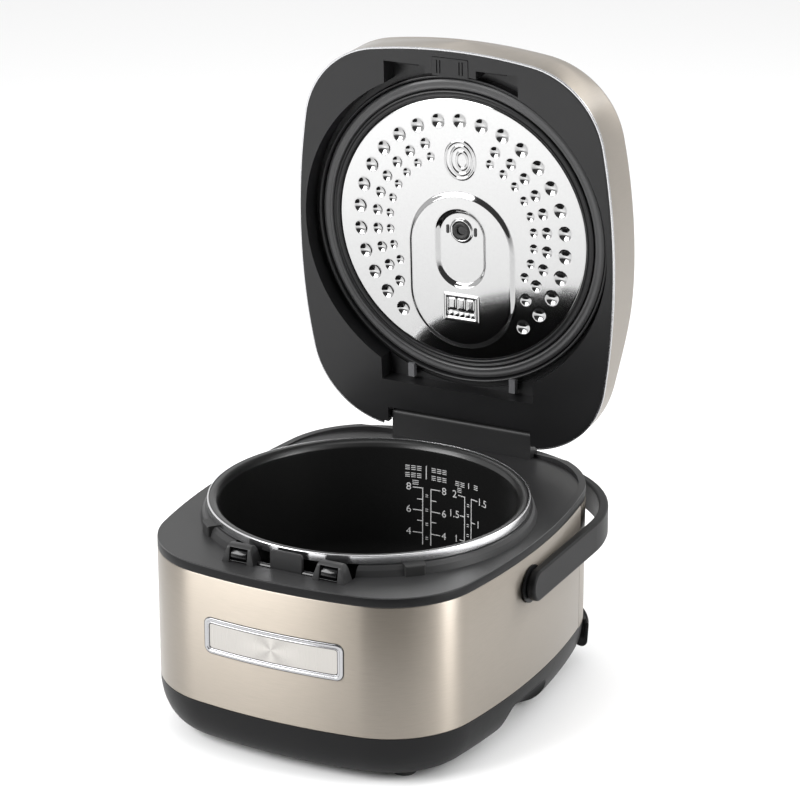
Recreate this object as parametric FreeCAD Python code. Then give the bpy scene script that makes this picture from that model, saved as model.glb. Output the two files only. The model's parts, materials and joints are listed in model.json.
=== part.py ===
"""Rice cooker standing with its lid open: one STEP file for each sub-part.

Lengths are millimetres. While a piece is built, z is its height above the table and y is measured
backwards from the axis of the inner pot. save() then moves every piece by POT_Y, so that the origin
lies on the table under the middle of the whole cooker. The pieces of the lid are built closed, and
save_lid() swings them open about the hinge axis.
"""
import FreeCAD, Part
import math
import os
from FreeCAD import Placement, Rotation, Vector

X, Y, Z = Vector(1, 0, 0), Vector(0, 1, 0), Vector(0, 0, 1)

# Plan of the body and the lid: four bowed sides joined by corner arcs
HALF_W = 132.3
HALF_D = 157.3
SIDE_R = 550.0
FRONT_R = 428.0
CORNER_R = 70.4
BODY_Y = 11.0            # middle of the body behind the pot axis
LID_Y = 12.5             # middle of the lid behind the pot axis

# Heights above the table
BASE_FLOOR = 4.0
SHELL_BOTTOM = 38.9
SHELL_TOP = 138.2
DECK_Z = 145.6
RIM_Z = 160.0

# Inner pot and what holds it
RIM_R = 118.0
RIM_HEIGHT = 6.2
POT_R = 111.5
POT_WALL = 2.2
POT_BOTTOM = 44.0
POT_CORNER_R = 36.0
BOWL_GAP = 2.5
BOWL_WALL = 2.5
OPENING_R = 115.5        # hole in the deck
COLLAR_R = 123.0         # foot of the raised collar round the hole

# Lid and hinge
HINGE_Y = 159.1
HINGE_Z = 161.5
LID_OPEN = 87.0
PARTING_GAP = 0.9        # between deck and closed lid
PARTING_FLAT_Y = 40.0    # the parting line is level in front of this, and rises behind it
PARTING_RISE = 4.4
PARTING_END_Y = 172.0
HINGE_BLOCK_HALF = 59.3
HINGE_SLOT_HALF = 61.0
PIN_R = 2.5
RECESS_R = 126.0         # round recess in the underside of the lid
RECESS_TOP = 165.0
LID_WALL = 2.2

# Carrying handle
HANDLE_X = 141.0         # outer face of its straight sides
HANDLE_T = 7.0
HANDLE_H = 23.5
HANDLE_CORNER_R = 101.0
HANDLE_REAR_Y = 195.0
PIVOT_Y = -3.0
PIVOT_Z = 116.0
HANDLE_TILT = 0.7

# Control window in the front
PANEL_HALF_W = 55.3
PANEL_Z = 93.9
PANEL_HALF_H = 13.5
BEZEL_PROUD = 1.2

REAR_SEAM_Y = 100.0      # joint between the wrapped shell and the rear cover
FRONT_Y = BODY_Y - HALF_D - BEZEL_PROUD
POT_Y = -(FRONT_Y + HANDLE_REAR_Y) / 2


# ---------------------------------------------------------------- helpers
def box(x0, x1, y0, y1, z0, z1):
    return Part.makeBox(x1 - x0, y1 - y0, z1 - z0, Vector(x0, y0, z0))


def rod(radius, start, end):
    start = Vector(start)
    along = Vector(end) - start
    return Part.makeCylinder(radius, along.Length, start, along)


def tube(r_in, r_out, z0, z1, x=0.0, y=0.0):
    return rod(r_out, (x, y, z0), (x, y, z1)).cut(rod(r_in, (x, y, z0 - 1), (x, y, z1 + 1)))


def join(first, *others):
    return first.multiFuse(list(others)).removeSplitter()


def mirrored(shape):
    """The shape and its mirror image on the other side of the cooker."""
    return Part.makeCompound([shape, shape.mirror(Vector(0, 0, 0), X)])


def turned(points):
    """Solid of revolution about the pot axis from (radius, height) points."""
    ring = [Vector(r, 0, z) for r, z in points]
    return Part.Face(Part.makePolygon(ring + ring[:1])).revolve(Vector(0, 0, 0), Z, 360)


def side_profile(points, x0, x1):
    """Prism along X from a closed outline of (y, z) points."""
    ring = [Vector(x0, y, z) for y, z in points]
    return Part.Face(Part.makePolygon(ring + ring[:1])).extrude(Vector(x1 - x0, 0, 0))


def arc(centre, radius, start, end):
    """Arc in a level plane between two angles in radians."""
    def at(angle):
        return centre + Vector(radius * math.cos(angle), radius * math.sin(angle), 0)
    return Part.Arc(at(start), at((start + end) / 2), at(end)).toShape()


def outline(inset, y, z):
    """Closed plan outline, inset all round, with its middle at y."""
    side_c = Vector(HALF_W - SIDE_R, 0, 0)
    front_c = Vector(0, HALF_D - FRONT_R, 0)
    to_side, to_front = SIDE_R - CORNER_R, FRONT_R - CORNER_R
    apart = (front_c - side_c).Length
    along = (to_side ** 2 - to_front ** 2 + apart ** 2) / (2 * apart)
    across = math.sqrt(to_side ** 2 - along ** 2)
    unit = (front_c - side_c).normalize()
    corner = side_c + unit * along + Vector(-unit.y, unit.x, 0) * across
    side_a = math.atan2(corner.y - side_c.y, corner.x - side_c.x)
    front_a = math.atan2(corner.y - front_c.y, corner.x - front_c.x)
    quarter = [arc(corner, CORNER_R - inset, side_a, front_a)]
    rear = quarter + [edge.mirror(Vector(0, 0, 0), X) for edge in quarter]
    rear.append(arc(front_c, FRONT_R - inset, front_a, math.pi - front_a))
    edges = rear + [edge.mirror(Vector(0, 0, 0), Y) for edge in rear]
    side = arc(side_c, SIDE_R - inset, -side_a, side_a)
    edges += [side, side.mirror(Vector(0, 0, 0), X)]
    wire = Part.Wire(Part.__sortEdges__(edges))
    wire.translate(Vector(0, y, z))
    return wire


def prism(inset, y, z0, z1):
    return Part.Face(outline(inset, y, z0)).extrude(Vector(0, 0, z1 - z0))


def wall(inset, thick, y, z0, z1):
    return prism(inset, y, z0, z1).cut(prism(inset + thick, y, z0 - 1, z1 + 1))


def above_parting(lift):
    """Everything above the parting line raised by lift. The line curves up towards the rear."""
    run = PARTING_END_Y - PARTING_FLAT_Y
    z = DECK_Z + lift
    low = Vector(-200, -300, z)
    start = Vector(-200, PARTING_FLAT_Y, z)
    middle = Vector(-200, PARTING_FLAT_Y + run / 2, z + PARTING_RISE / 4)
    end = Vector(-200, PARTING_END_Y, z + PARTING_RISE)
    high = Vector(-200, PARTING_END_Y + 40, z + PARTING_RISE)
    top = [Vector(-200, PARTING_END_Y + 40, 400), Vector(-200, -300, 400)]
    edges = [Part.makeLine(low, start), Part.Arc(start, middle, end).toShape(), Part.makeLine(end, high)]
    edges += [Part.makeLine(high, top[0]), Part.makeLine(top[0], top[1]), Part.makeLine(top[1], low)]
    return Part.Face(Part.Wire(edges)).extrude(Vector(400, 0, 0))


def rounded_plate(half_w, half_h, radius, x, z, y0, y1):
    """Rounded rectangle in the front plane, extruded from y0 to y1."""
    plate = box(x - half_w, x + half_w, y0, y1, z - half_h, z + half_h)
    upright = [e for e in plate.Edges if abs(e.tangentAt(e.FirstParameter).y) > 0.9]
    return plate.makeFillet(radius, upright)


def rounded_slab(half_w, half_d, radius, x, y, z0, z1):
    """Rounded rectangle lying flat, extruded from z0 to z1."""
    slab = box(x - half_w, x + half_w, y - half_d, y + half_d, z0, z1)
    upright = [e for e in slab.Edges if abs(e.tangentAt(e.FirstParameter).z) > 0.9]
    return slab.makeFillet(radius, upright)


def coil_spring(centre, axis, radius, wire_r, turns, pitch):
    """Closely wound spring, as touching rings of wire joined into one solid."""
    rings = []
    for turn in range(turns):
        middle = Vector(centre) + Vector(axis) * ((turn - (turns - 1) / 2) * pitch)
        rings.append(Part.makeTorus(radius, wire_r, middle, axis))
    return rings[0].multiFuse(rings[1:])


def save(name, shape):
    shape = shape.copy()
    shape.Placement = Placement(Vector(0, POT_Y, 0), Rotation()).multiply(shape.Placement)
    shape.exportStep(f"parts/{name}.step")


def save_lid(name, shape):
    """Swing a piece of the lid from closed to open, then save it."""
    shape = shape.copy()
    swing = Placement(Vector(0, 0, 0), Rotation(X, -LID_OPEN), Vector(0, HINGE_Y, HINGE_Z))
    shape.Placement = swing.multiply(shape.Placement)
    save(name, shape)


# ---------------------------------------------------------------- base
FOOT_X, FOOT_FRONT_Y, FOOT_REAR_Y = 82.0, -102.5, 122.0
BASE_ROUND_W, BASE_ROUND_H = 22.0, SHELL_BOTTOM - BASE_FLOOR
BASE_WALL = 2.5
GRIP_FRONT_Y, GRIP_REAR_Y = -35.0, 38.0
GRIP_X, GRIP_SLOPE, GRIP_END_R = 105.5, 1.12, 14.0


def base_form(shrink):
    """Rounded tray: stacked outlines that draw in like a quarter ellipse."""
    steps = 6
    sections = []
    for step in range(steps + 1):
        angle = math.radians(90) * step / steps
        inset = BASE_ROUND_W * (1 - math.cos(angle)) + shrink
        z = SHELL_BOTTOM - (BASE_ROUND_H - shrink) * math.sin(angle)
        sections.append(outline(inset, BODY_Y, z))
    return Part.makeLoft(sections, True, False)


def grips(grow):
    """Slanting finger recesses under both sides of the base, for lifting the cooker."""
    low = -30.0
    inner_x = GRIP_X + (low - grow * math.hypot(1, GRIP_SLOPE)) / GRIP_SLOPE
    outer_x = 150.0
    high = low + (outer_x - inner_x) * GRIP_SLOPE
    corners = [(inner_x, low), (outer_x, low), (outer_x, high), (inner_x, low)]
    front, rear = GRIP_FRONT_Y - grow, GRIP_REAR_Y + grow
    section = Part.Face(Part.makePolygon([Vector(x, front, z) for x, z in corners]))
    wedge = section.extrude(Vector(0, rear - front, 0))
    slanting = [e for e in wedge.Edges
                if abs(e.tangentAt(e.FirstParameter).x) > 0.3 and abs(e.tangentAt(e.FirstParameter).z) > 0.3]
    wedge = wedge.makeFillet(GRIP_END_R, slanting)
    return wedge.fuse(wedge.mirror(Vector(0, 0, 0), X))


def feet_places():
    return [(sx * FOOT_X, y) for sx in (-1, 1) for y in (FOOT_FRONT_Y, FOOT_REAR_Y)]


def base_tub():
    inner = base_form(BASE_WALL).cut(grips(BASE_WALL))
    tub = base_form(0).cut(inner)
    tongue = wall(1.6, 2.0, BODY_Y, SHELL_BOTTOM - 6, SHELL_BOTTOM + 5)
    floor = BASE_FLOOR + BASE_WALL
    posts = [rod(3.5, (x, y, floor - 1), (x, y, 12)) for x, y in board_posts()]
    tub = join(tub, tongue, *posts).cut(grips(0))
    for x, y in feet_places():
        tub = tub.cut(rod(9.2, (x, y, 0), (x, y, BASE_FLOOR + 1.2)))
    for row in range(7):
        y = FAN_Y - 24 + 8 * row
        tub = tub.cut(box(FAN_X - 22, FAN_X + 22, y - 1.8, y + 1.8, 0, floor + 1))
    for x, y in screw_places():
        tub = tub.cut(rod(4.2, (x, y, 0), (x, y, BASE_FLOOR + 1.5)))
        tub = tub.cut(rod(1.8, (x, y, 0), (x, y, floor + 1)))
    return tub


def screw_places():
    return [(sx * 60, y) for sx in (-1, 1) for y in (-108, 126)]


def base_screws():
    """Pan-head screws with a slot, driven up through the floor of the tub."""
    screws = []
    for x, y in screw_places():
        head = rod(3.8, (x, y, BASE_FLOOR - 0.9), (x, y, BASE_FLOOR + 1.4))
        slot = box(x - 4, x + 4, y - 0.5, y + 0.5, 0, BASE_FLOOR)
        shank = rod(1.75, (x, y, BASE_FLOOR + 1.3), (x, y, 22))
        screws.append(head.cut(slot).fuse(shank))
    return Part.makeCompound(screws)


def rubber_feet():
    feet = []
    for x, y in feet_places():
        pad = rod(9.0, (x, y, 0), (x, y, BASE_FLOOR + 1.1))
        feet.append(pad.makeFillet(1.2, [e for e in pad.Edges if e.CenterOfMass.z < 0.1]))
    return Part.makeCompound(feet)


# ---------------------------------------------------------------- outer casing
SHELL_T = 1.2
COVER_T = 1.4
BOSS_R = 14.0
BOSS_STEM_R = 8.0
INLET_X, INLET_Z = -46.0, 66.0


def body_shell():
    shell = wall(0, SHELL_T, BODY_Y, SHELL_BOTTOM, SHELL_TOP)
    shell = shell.cut(box(-200, 200, REAR_SEAM_Y, 300, 0, 200))
    window = rounded_plate(PANEL_HALF_W - 1.3, PANEL_HALF_H - 1.3, 4, 0, PANEL_Z, -200, -100)
    shell = shell.cut(window)
    return shell.cut(rod(BOSS_STEM_R + 0.1, (-200, PIVOT_Y, PIVOT_Z), (200, PIVOT_Y, PIVOT_Z)))


def rear_cover():
    cover = wall(0, COVER_T, BODY_Y, SHELL_BOTTOM, SHELL_TOP)
    cover = cover.cut(box(-200, 200, -300, REAR_SEAM_Y + 0.4, 0, 200))
    lap = wall(SHELL_T + 0.2, 1.4, BODY_Y, SHELL_BOTTOM + 6, SHELL_TOP - 9)
    lap = lap.common(box(-200, 200, REAR_SEAM_Y - 8, REAR_SEAM_Y + 10, 0, 200))
    cover = cover.fuse(lap)
    for row in range(3):
        for column in range(7):
            x = -6 + 15 * column
            z = 62 + 15 * row
            slot = rounded_plate(1.6, 5.5, 1.5, x, z, 120, 200)
            cover = cover.cut(slot)
    return cover.cut(box(INLET_X - 24.2, INLET_X + 24.2, 120, 200, INLET_Z - 14.2, INLET_Z + 14.2))


def power_inlet():
    """Three-pin appliance inlet: flanged housing, open at the back, with its pins inside."""
    back = BODY_Y + HALF_D - 2.0
    housing = rounded_plate(24, 14, 3, INLET_X, INLET_Z, back - 26, back - 0.5)
    flange = rounded_plate(27, 17, 3, INLET_X, INLET_Z, back - 9.5, back - 6.5)
    socket = rounded_plate(12.5, 8.5, 3, INLET_X, INLET_Z, back - 20, back + 5)
    body = housing.fuse(flange).cut(socket)
    return body.cut(inlet_pins())


def inlet_pins():
    back = BODY_Y + HALF_D - 2.0
    pins = []
    for dx, dz in ((-7, -2), (0, 3), (7, -2)):
        x, z = INLET_X + dx, INLET_Z + dz
        pins.append(box(x - 1, x + 1, back - 30, back - 7, z - 2, z + 2))
    return Part.makeCompound(pins)


# ---------------------------------------------------------------- control window
def front_band(out, into):
    """Band that follows the front of the body, from out proud of it to into behind it."""
    band = prism(-out, BODY_Y, 60, 125).cut(prism(into, BODY_Y, 59, 126))
    return band.common(box(-80, 80, -200, -100, 0, 200))


def panel_bezel():
    opening = rounded_plate(PANEL_HALF_W - 3.6, PANEL_HALF_H - 3.6, 3, 0, PANEL_Z, -200, -100)
    flange = rounded_plate(PANEL_HALF_W, PANEL_HALF_H, 5, 0, PANEL_Z, -200, -100)
    flange = flange.common(front_band(BEZEL_PROUD, 0))
    sleeve = rounded_plate(PANEL_HALF_W - 1.4, PANEL_HALF_H - 1.4, 4, 0, PANEL_Z, -200, -100)
    return flange.fuse(sleeve.common(front_band(0.5, 3.5))).cut(opening).removeSplitter()


def panel_plate():
    plate = rounded_plate(PANEL_HALF_W - 3.7, PANEL_HALF_H - 3.7, 2.9, 0, PANEL_Z, -200, -100)
    return plate.common(front_band(0.2, 1.6))


def display_board():
    """Circuit board standing behind the control window, with its display and touch springs."""
    y = FRONT_Y + 12
    board = box(-50, 50, y, y + 1.6, PANEL_Z - 16, PANEL_Z + 16)
    display = box(-16, 16, y - 4.5, y + 0.5, PANEL_Z - 7, PANEL_Z + 7)
    keys = [rod(3, (x, y - 4, PANEL_Z), (x, y + 0.5, PANEL_Z)) for x in (-42, -32, 32, 42)]
    chips = [box(x - 7, x + 7, y + 1.5, y + 3.6, PANEL_Z - 7, PANEL_Z + 7) for x in (-30, 0)]
    return join(board, display, *keys, *chips)


# ---------------------------------------------------------------- deck
LIP_W = 5.5
DECK_T = 3.0
LATCH_HALF = 49.0
LATCH_FRONT_Y, LATCH_FLOOR = -129.5, 140.6
PAD_ANGLES = (-133, -47, 47, 133)


def top_deck():
    deck = prism(0.3, BODY_Y, SHELL_TOP + 0.2, DECK_Z + PARTING_RISE + 1).cut(above_parting(0))
    deck = deck.cut(prism(LIP_W, BODY_Y, DECK_Z, DECK_Z + 20))
    hollow = prism(4.0, BODY_Y, SHELL_TOP - 5, DECK_Z - DECK_T)
    hollow = hollow.cut(rod(OPENING_R + 3, (0, 0, 0), (0, 0, 200)))
    skirt = wall(SHELL_T + 0.3, 2.5, BODY_Y, SHELL_TOP - 8, SHELL_TOP + 3)
    collar = turned([(OPENING_R, DECK_Z - 2), (COLLAR_R + 0.4, DECK_Z - 2), (COLLAR_R, DECK_Z),
                     (121.6, DECK_Z + 4.5), (119.8, 152.6), (118.4, 153.0), (OPENING_R, 153.0)])
    latch_pit = box(-LATCH_HALF - 2, LATCH_HALF + 2, LATCH_FRONT_Y - 2, -100, SHELL_TOP + 0.2, DECK_Z - 1)
    deck = join(deck.cut(hollow), skirt, collar, latch_pit)
    deck = deck.cut(rod(OPENING_R, (0, 0, 100), (0, 0, 200)))
    deck = deck.cut(box(-LATCH_HALF, LATCH_HALF, LATCH_FRONT_Y, -90, LATCH_FLOOR, 200))
    deck = deck.cut(rod(1.5, (-LATCH_HALF - 5, LATCH_Y, LATCH_Z), (LATCH_HALF + 5, LATCH_Y, LATCH_Z)))
    for angle in PAD_ANGLES:
        deck = deck.cut(pad_block(angle, 0.05))
    well_half = HINGE_BLOCK_HALF + 0.2
    hinge_well = box(-well_half, well_half, BLOCK_FRONT_Y - 0.2, 200, DECK_Z - 1, 200)
    swing_room = rod(13.3, (-88, HINGE_Y, HINGE_Z), (88, HINGE_Y, HINGE_Z))
    return deck.cut(hinge_well).cut(swing_room)


def pad_block(angle, grow):
    """Seat of one pot rest in the collar, turned to its place round the pot."""
    block = box(OPENING_R + 0.4 - grow, COLLAR_R + 1.6 + grow, -7.5 - grow, 7.5 + grow, DECK_Z - grow, 160)
    block.rotate(Vector(0, 0, 0), Z, angle)
    return block


def pot_rests():
    """Rubber blocks in the collar, on which the rim of the pot rests."""
    top = RIM_Z - RIM_HEIGHT - 0.1
    rests = []
    for angle in PAD_ANGLES:
        rest = box(OPENING_R + 0.4, COLLAR_R + 1.6, -7.5, 7.5, DECK_Z, top)
        raised = [e for e in rest.Edges if e.CenterOfMass.x > COLLAR_R and e.CenterOfMass.z > 148]
        rest = rest.makeFillet(1.5, raised)
        rest.rotate(Vector(0, 0, 0), Z, angle)
        rests.append(rest)
    return Part.makeCompound(rests)


# ---------------------------------------------------------------- latch
LATCH_Y, LATCH_Z = -121.0, 143.6
HOOK_X0, HOOK_X1 = 26.5, 45.5
HOOK_PROFILE = [(-124.5, 143.0), (-124.0, 150.5), (-127.6, 152.0), (-128.2, 155.0), (-125.8, 158.4),
                (-121.0, 159.4), (-117.8, 157.6), (-116.6, 150.0), (-116.6, 143.0)]


def latch_bar():
    """Two hooks on a cross bar, with the tab that the lid's button pushes to free them."""
    bar = box(-HOOK_X1, HOOK_X1, LATCH_Y - 2.8, LATCH_Y + 2.8, LATCH_Z - 2.6, LATCH_Z + 2.6)
    hook = side_profile(HOOK_PROFILE, HOOK_X0, HOOK_X1)
    throat = side_profile([(-130, 153.6), (-123.6, 151.4), (-123.6, 155.4), (-126.4, 156.6), (-130, 156.0)],
                          HOOK_X0 + 2.4, HOOK_X1 - 2.4)
    nose = rod(2.3, (HOOK_X0 + 2, -125.0, 154.2), (HOOK_X1 - 2, -125.0, 154.2))
    hook = hook.cut(throat).fuse(nose)
    tab = box(-13, 13, -123.4, -120.8, LATCH_Z, 157.8)
    corners = [e for e in tab.Edges if abs(e.tangentAt(e.FirstParameter).y) > 0.9 and e.CenterOfMass.z > 150]
    tab = tab.makeFillet(2.5, corners)
    whole = join(bar, hook, hook.mirror(Vector(0, 0, 0), X), tab)
    return whole.cut(rod(1.55, (-60, LATCH_Y, LATCH_Z), (60, LATCH_Y, LATCH_Z)))


def latch_pin():
    return rod(1.5, (-LATCH_HALF - 1.5, LATCH_Y, LATCH_Z), (LATCH_HALF + 1.5, LATCH_Y, LATCH_Z))


def latch_springs():
    springs = [coil_spring((x, LATCH_Y, LATCH_Z), X, 2.05, 0.45, 3, 0.85) for x in (-47.3, 47.3)]
    return Part.makeCompound(springs)


# ---------------------------------------------------------------- hinge
BLOCK_FRONT_Y = 151.5
BLOCK_TOP = HINGE_Z + 6.5


def hinge_cover():
    """Fixed hollow block at the rear of the deck, which carries the hinge pin."""
    block = box(-HINGE_BLOCK_HALF, HINGE_BLOCK_HALF, BLOCK_FRONT_Y, 168.2, DECK_Z - 0.9, BLOCK_TOP)
    long_top = [e for e in block.Edges
                if abs(e.tangentAt(e.FirstParameter).x) > 0.9 and e.CenterOfMass.z > 165]
    block = block.makeFillet(4.0, long_top)
    inner_half = HINGE_BLOCK_HALF - 3
    inside = box(-inner_half, inner_half, BLOCK_FRONT_Y + 2, 165, DECK_Z - 3, BLOCK_TOP - 2)
    block = block.cut(inside).common(prism(0.3, BODY_Y, 100, 200))
    return block.cut(rod(PIN_R, (-80, HINGE_Y, HINGE_Z), (80, HINGE_Y, HINGE_Z)))


def hinge_pin():
    return rod(PIN_R, (-67, HINGE_Y, HINGE_Z), (67, HINGE_Y, HINGE_Z))


def hinge_springs():
    return Part.makeCompound([coil_spring((x, HINGE_Y, HINGE_Z), X, 3.5, 0.9, 16, 1.7) for x in (-36, 36)])


# ---------------------------------------------------------------- heating bowl and drive parts
BOWL_R = POT_R + BOWL_GAP
BOWL_CORNER_R = POT_CORNER_R + BOWL_GAP
BOWL_BOTTOM = POT_BOTTOM - BOWL_GAP - 0.3


def cup_profile(radius, corner_r, bottom, top, wall_t, hole_r):
    """Half section of a round-cornered cup: (radius, height) points, outside first."""
    steps = 12
    outside, inside = [], []
    for step in range(steps + 1):
        angle = math.radians(90) * step / steps
        swing = Vector(math.sin(angle), -math.cos(angle), 0)
        centre = Vector(radius - corner_r, bottom + corner_r, 0)
        out, into = centre + swing * corner_r, centre + swing * (corner_r - wall_t)
        outside.append((out.x, out.y))
        inside.append((into.x, into.y))
    start_out, start_in = (hole_r, bottom), (hole_r, bottom + wall_t)
    end_out, end_in = (radius, top), (radius - wall_t, top)
    return [start_out] + outside + [end_out, end_in] + inside[::-1] + [start_in]


def coil_bowl():
    outer_r = BOWL_R + BOWL_WALL
    profile = cup_profile(outer_r, BOWL_CORNER_R + BOWL_WALL, BOWL_BOTTOM - BOWL_WALL, 138.0, BOWL_WALL, 17)
    bowl = turned(profile)
    flange = tube(BOWL_R, outer_r + 4.5, 135.4, 138.0)
    return bowl.fuse(flange).removeSplitter()


def induction_coil():
    """Two rings of copper winding under the bowl: one flat, one round its lower corner."""
    under = BOWL_BOTTOM - BOWL_WALL
    flat = tube(24, 62, under - 4.0, under - 0.2)
    corner = (BOWL_R - BOWL_CORNER_R, BOWL_BOTTOM + BOWL_CORNER_R)
    near, far = BOWL_CORNER_R + BOWL_WALL + 0.6, BOWL_CORNER_R + BOWL_WALL + 4.2
    angles = [math.radians(a) for a in (-75, -62, -49, -36, -22)]
    ring = [(corner[0] + near * math.cos(a), corner[1] + near * math.sin(a)) for a in angles]
    ring += [(corner[0] + far * math.cos(a), corner[1] + far * math.sin(a)) for a in reversed(angles)]
    return Part.makeCompound([flat, turned(ring)])


def ferrite_bars():
    bars = []
    for place in range(6):
        bar = box(27, 70, -6, 6, 28.6, BOWL_BOTTOM - BOWL_WALL - 4.2)
        bar.rotate(Vector(0, 0, 0), Z, 30 + 60 * place)
        bars.append(bar)
    return Part.makeCompound(bars)


def coil_support():
    """Plate under the ferrite bars, standing on four legs."""
    plate = tube(6.0, 73, 25.0, 28.4)
    legs = []
    for place in range(4):
        angle = math.radians(45 + 90 * place)
        x, y = 66 * math.cos(angle), 66 * math.sin(angle)
        legs.append(rod(4, (x, y, BASE_FLOOR + BASE_WALL), (x, y, 26)))
    for place in range(6):
        angle = math.radians(60 * place)
        x, y = 48 * math.cos(angle), 48 * math.sin(angle)
        plate = plate.cut(rod(11, (x, y, 20), (x, y, 40)))
    return join(plate, *legs)


SENSOR_TOP = POT_BOTTOM - 0.4


def centre_sensor():
    """Sprung temperature sensor that presses on the underside of the pot."""
    cap = rod(14, (0, 0, 38.0), (0, 0, SENSOR_TOP))
    cap = cap.makeFillet(1.5, [e for e in cap.Edges if e.CenterOfMass.z > 43])
    return join(cap, rod(5, (0, 0, 19), (0, 0, 39)))


def sensor_spring():
    """Coil between the support plate and the cap of the sensor."""
    return coil_spring((0, 0, 32.9), Z, 8.0, 0.95, 5, 1.75)


# Electronics under the bowl
FAN_X, FAN_Y, FAN_HALF, FAN_Z0, FAN_Z1 = 60.0, 84.0, 30.0, 7.0, 22.0
BOARD_X0, BOARD_X1, BOARD_Y0, BOARD_Y1 = -58.0, 58.0, -112.0, -54.0


def board_posts():
    return [(x, y) for x in (BOARD_X0 + 6, BOARD_X1 - 6) for y in (BOARD_Y0 + 6, BOARD_Y1 - 6)]


def power_board():
    """Inverter board with its capacitors, choke and power transistor."""
    board = box(BOARD_X0, BOARD_X1, BOARD_Y0, BOARD_Y1, 12, 13.6)
    parts = [rod(8, (-40, -90, 13), (-40, -90, 24)), rod(8, (-20, -90, 13), (-20, -90, 24)),
             tube(5, 11, 13, 22, 10, -88), box(-48, -24, -76, -64, 13, 23), box(0, 20, -72, -62, 13, 20),
             box(30, 50, -100, -92, 13, 22)]
    return join(board, *parts)


def heatsink():
    base = box(-78, -22, 58, 108, 7, 10)
    fins = [box(-78 + 6 * n, -76.4 + 6 * n, 58, 108, 9.5, 24) for n in range(10)]
    return join(base, *fins)


def fan_frame():
    frame = rounded_slab(FAN_HALF, FAN_HALF, 4, FAN_X, FAN_Y, FAN_Z0, FAN_Z1)
    frame = frame.cut(rod(28, (FAN_X, FAN_Y, 0), (FAN_X, FAN_Y, 40)))
    struts = box(FAN_X - 29, FAN_X + 29, FAN_Y - 1.5, FAN_Y + 1.5, FAN_Z0, FAN_Z0 + 2)
    cross = box(FAN_X - 1.5, FAN_X + 1.5, FAN_Y - 29, FAN_Y + 29, FAN_Z0, FAN_Z0 + 2)
    motor = rod(11, (FAN_X, FAN_Y, FAN_Z0), (FAN_X, FAN_Y, FAN_Z0 + 3.4))
    axle = rod(1.5, (FAN_X, FAN_Y, FAN_Z0 + 3), (FAN_X, FAN_Y, FAN_Z0 + 12))
    return join(frame, struts, cross, motor, axle)


def fan_rotor():
    hub = rod(12.5, (FAN_X, FAN_Y, FAN_Z0 + 4.2), (FAN_X, FAN_Y, FAN_Z1 - 0.8))
    blades = []
    for place in range(7):
        blade = box(11, 26.8, -0.6, 0.6, -6, 6)
        blade.rotate(Vector(0, 0, 0), X, 38)
        blade = blade.common(tube(11, 26.8, -4.4, 4.4))
        blade.rotate(Vector(0, 0, 0), Z, 360 / 7 * place)
        blade.translate(Vector(FAN_X, FAN_Y, FAN_Z0 + 9.2))
        blades.append(blade)
    bore = rod(1.56, (FAN_X, FAN_Y, FAN_Z0), (FAN_X, FAN_Y, FAN_Z0 + 12.2))
    return join(hub, *blades).cut(bore)


# ---------------------------------------------------------------- inner pot
def inner_pot():
    """Round-bottomed pot with a thick turned-out rim."""
    pot = turned(cup_profile(POT_R, POT_CORNER_R, POT_BOTTOM, RIM_Z - 2, POT_WALL, 0))
    band = RIM_Z - RIM_HEIGHT
    rim = turned([(POT_R - POT_WALL, band), (RIM_R - 0.8, band), (RIM_R, band + 0.8), (RIM_R, RIM_Z - 1.2),
                  (RIM_R - 1.2, RIM_Z), (RIM_R - 5.0, RIM_Z - 0.3), (RIM_R - 7.5, RIM_Z - 2.5),
                  (POT_R - POT_WALL, RIM_Z - 5)])
    return pot.fuse(rim).removeSplitter()


# ---------------------------------------------------------------- carrying handle
def handle_plan(offset, z):
    """Plan outline of the bail, inset by offset from its outer face, closed across the front."""
    x = HANDLE_X - offset
    radius = HANDLE_CORNER_R - offset
    rear = HANDLE_REAR_Y - offset
    turn_y = HANDLE_REAR_Y - HANDLE_CORNER_R
    flat = HANDLE_X - HANDLE_CORNER_R
    front = PIVOT_Y - HANDLE_H / 2
    def corner(side):
        lean = radius / math.sqrt(2)
        return Part.Arc(Vector(side * x, turn_y, z), Vector(side * (flat + lean), turn_y + lean, z),
                        Vector(side * flat, rear, z)).toShape()
    edges = [Part.makeLine(Vector(x, front, z), Vector(x, turn_y, z)), corner(1),
             Part.makeLine(Vector(flat, rear, z), Vector(-flat, rear, z)), corner(-1),
             Part.makeLine(Vector(-x, turn_y, z), Vector(-x, front, z)),
             Part.makeLine(Vector(-x, front, z), Vector(x, front, z))]
    return Part.Face(Part.Wire(edges))


def carry_handle():
    """Flat bail folded back round the body, with round ends on the two pivots."""
    z0 = PIVOT_Z - HANDLE_H / 2
    bail = handle_plan(0, z0).extrude(Vector(0, 0, HANDLE_H))
    bail = bail.cut(handle_plan(HANDLE_T, z0 - 1).extrude(Vector(0, 0, HANDLE_H + 2)))
    bail = bail.cut(box(-HANDLE_X + HANDLE_T, HANDLE_X - HANDLE_T, -50, 40, 50, 200))
    end = rod(HANDLE_H / 2, (-200, PIVOT_Y, PIVOT_Z), (200, PIVOT_Y, PIVOT_Z))
    end = end.common(box(-200, 200, -50, PIVOT_Y, 0, 200))
    bail = bail.common(end.fuse(box(-200, 200, PIVOT_Y, 300, 0, 200)))
    outer = [e for e in bail.Edges if rim_of_handle(e)]
    bail = bail.makeFillet(2.0, outer)
    bore = rod(5.05, (-HANDLE_X + 2, PIVOT_Y, PIVOT_Z), (HANDLE_X - 2, PIVOT_Y, PIVOT_Z))
    bail = bail.cut(bore)
    bail.rotate(Vector(0, PIVOT_Y, PIVOT_Z), X, HANDLE_TILT)
    return bail


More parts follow.
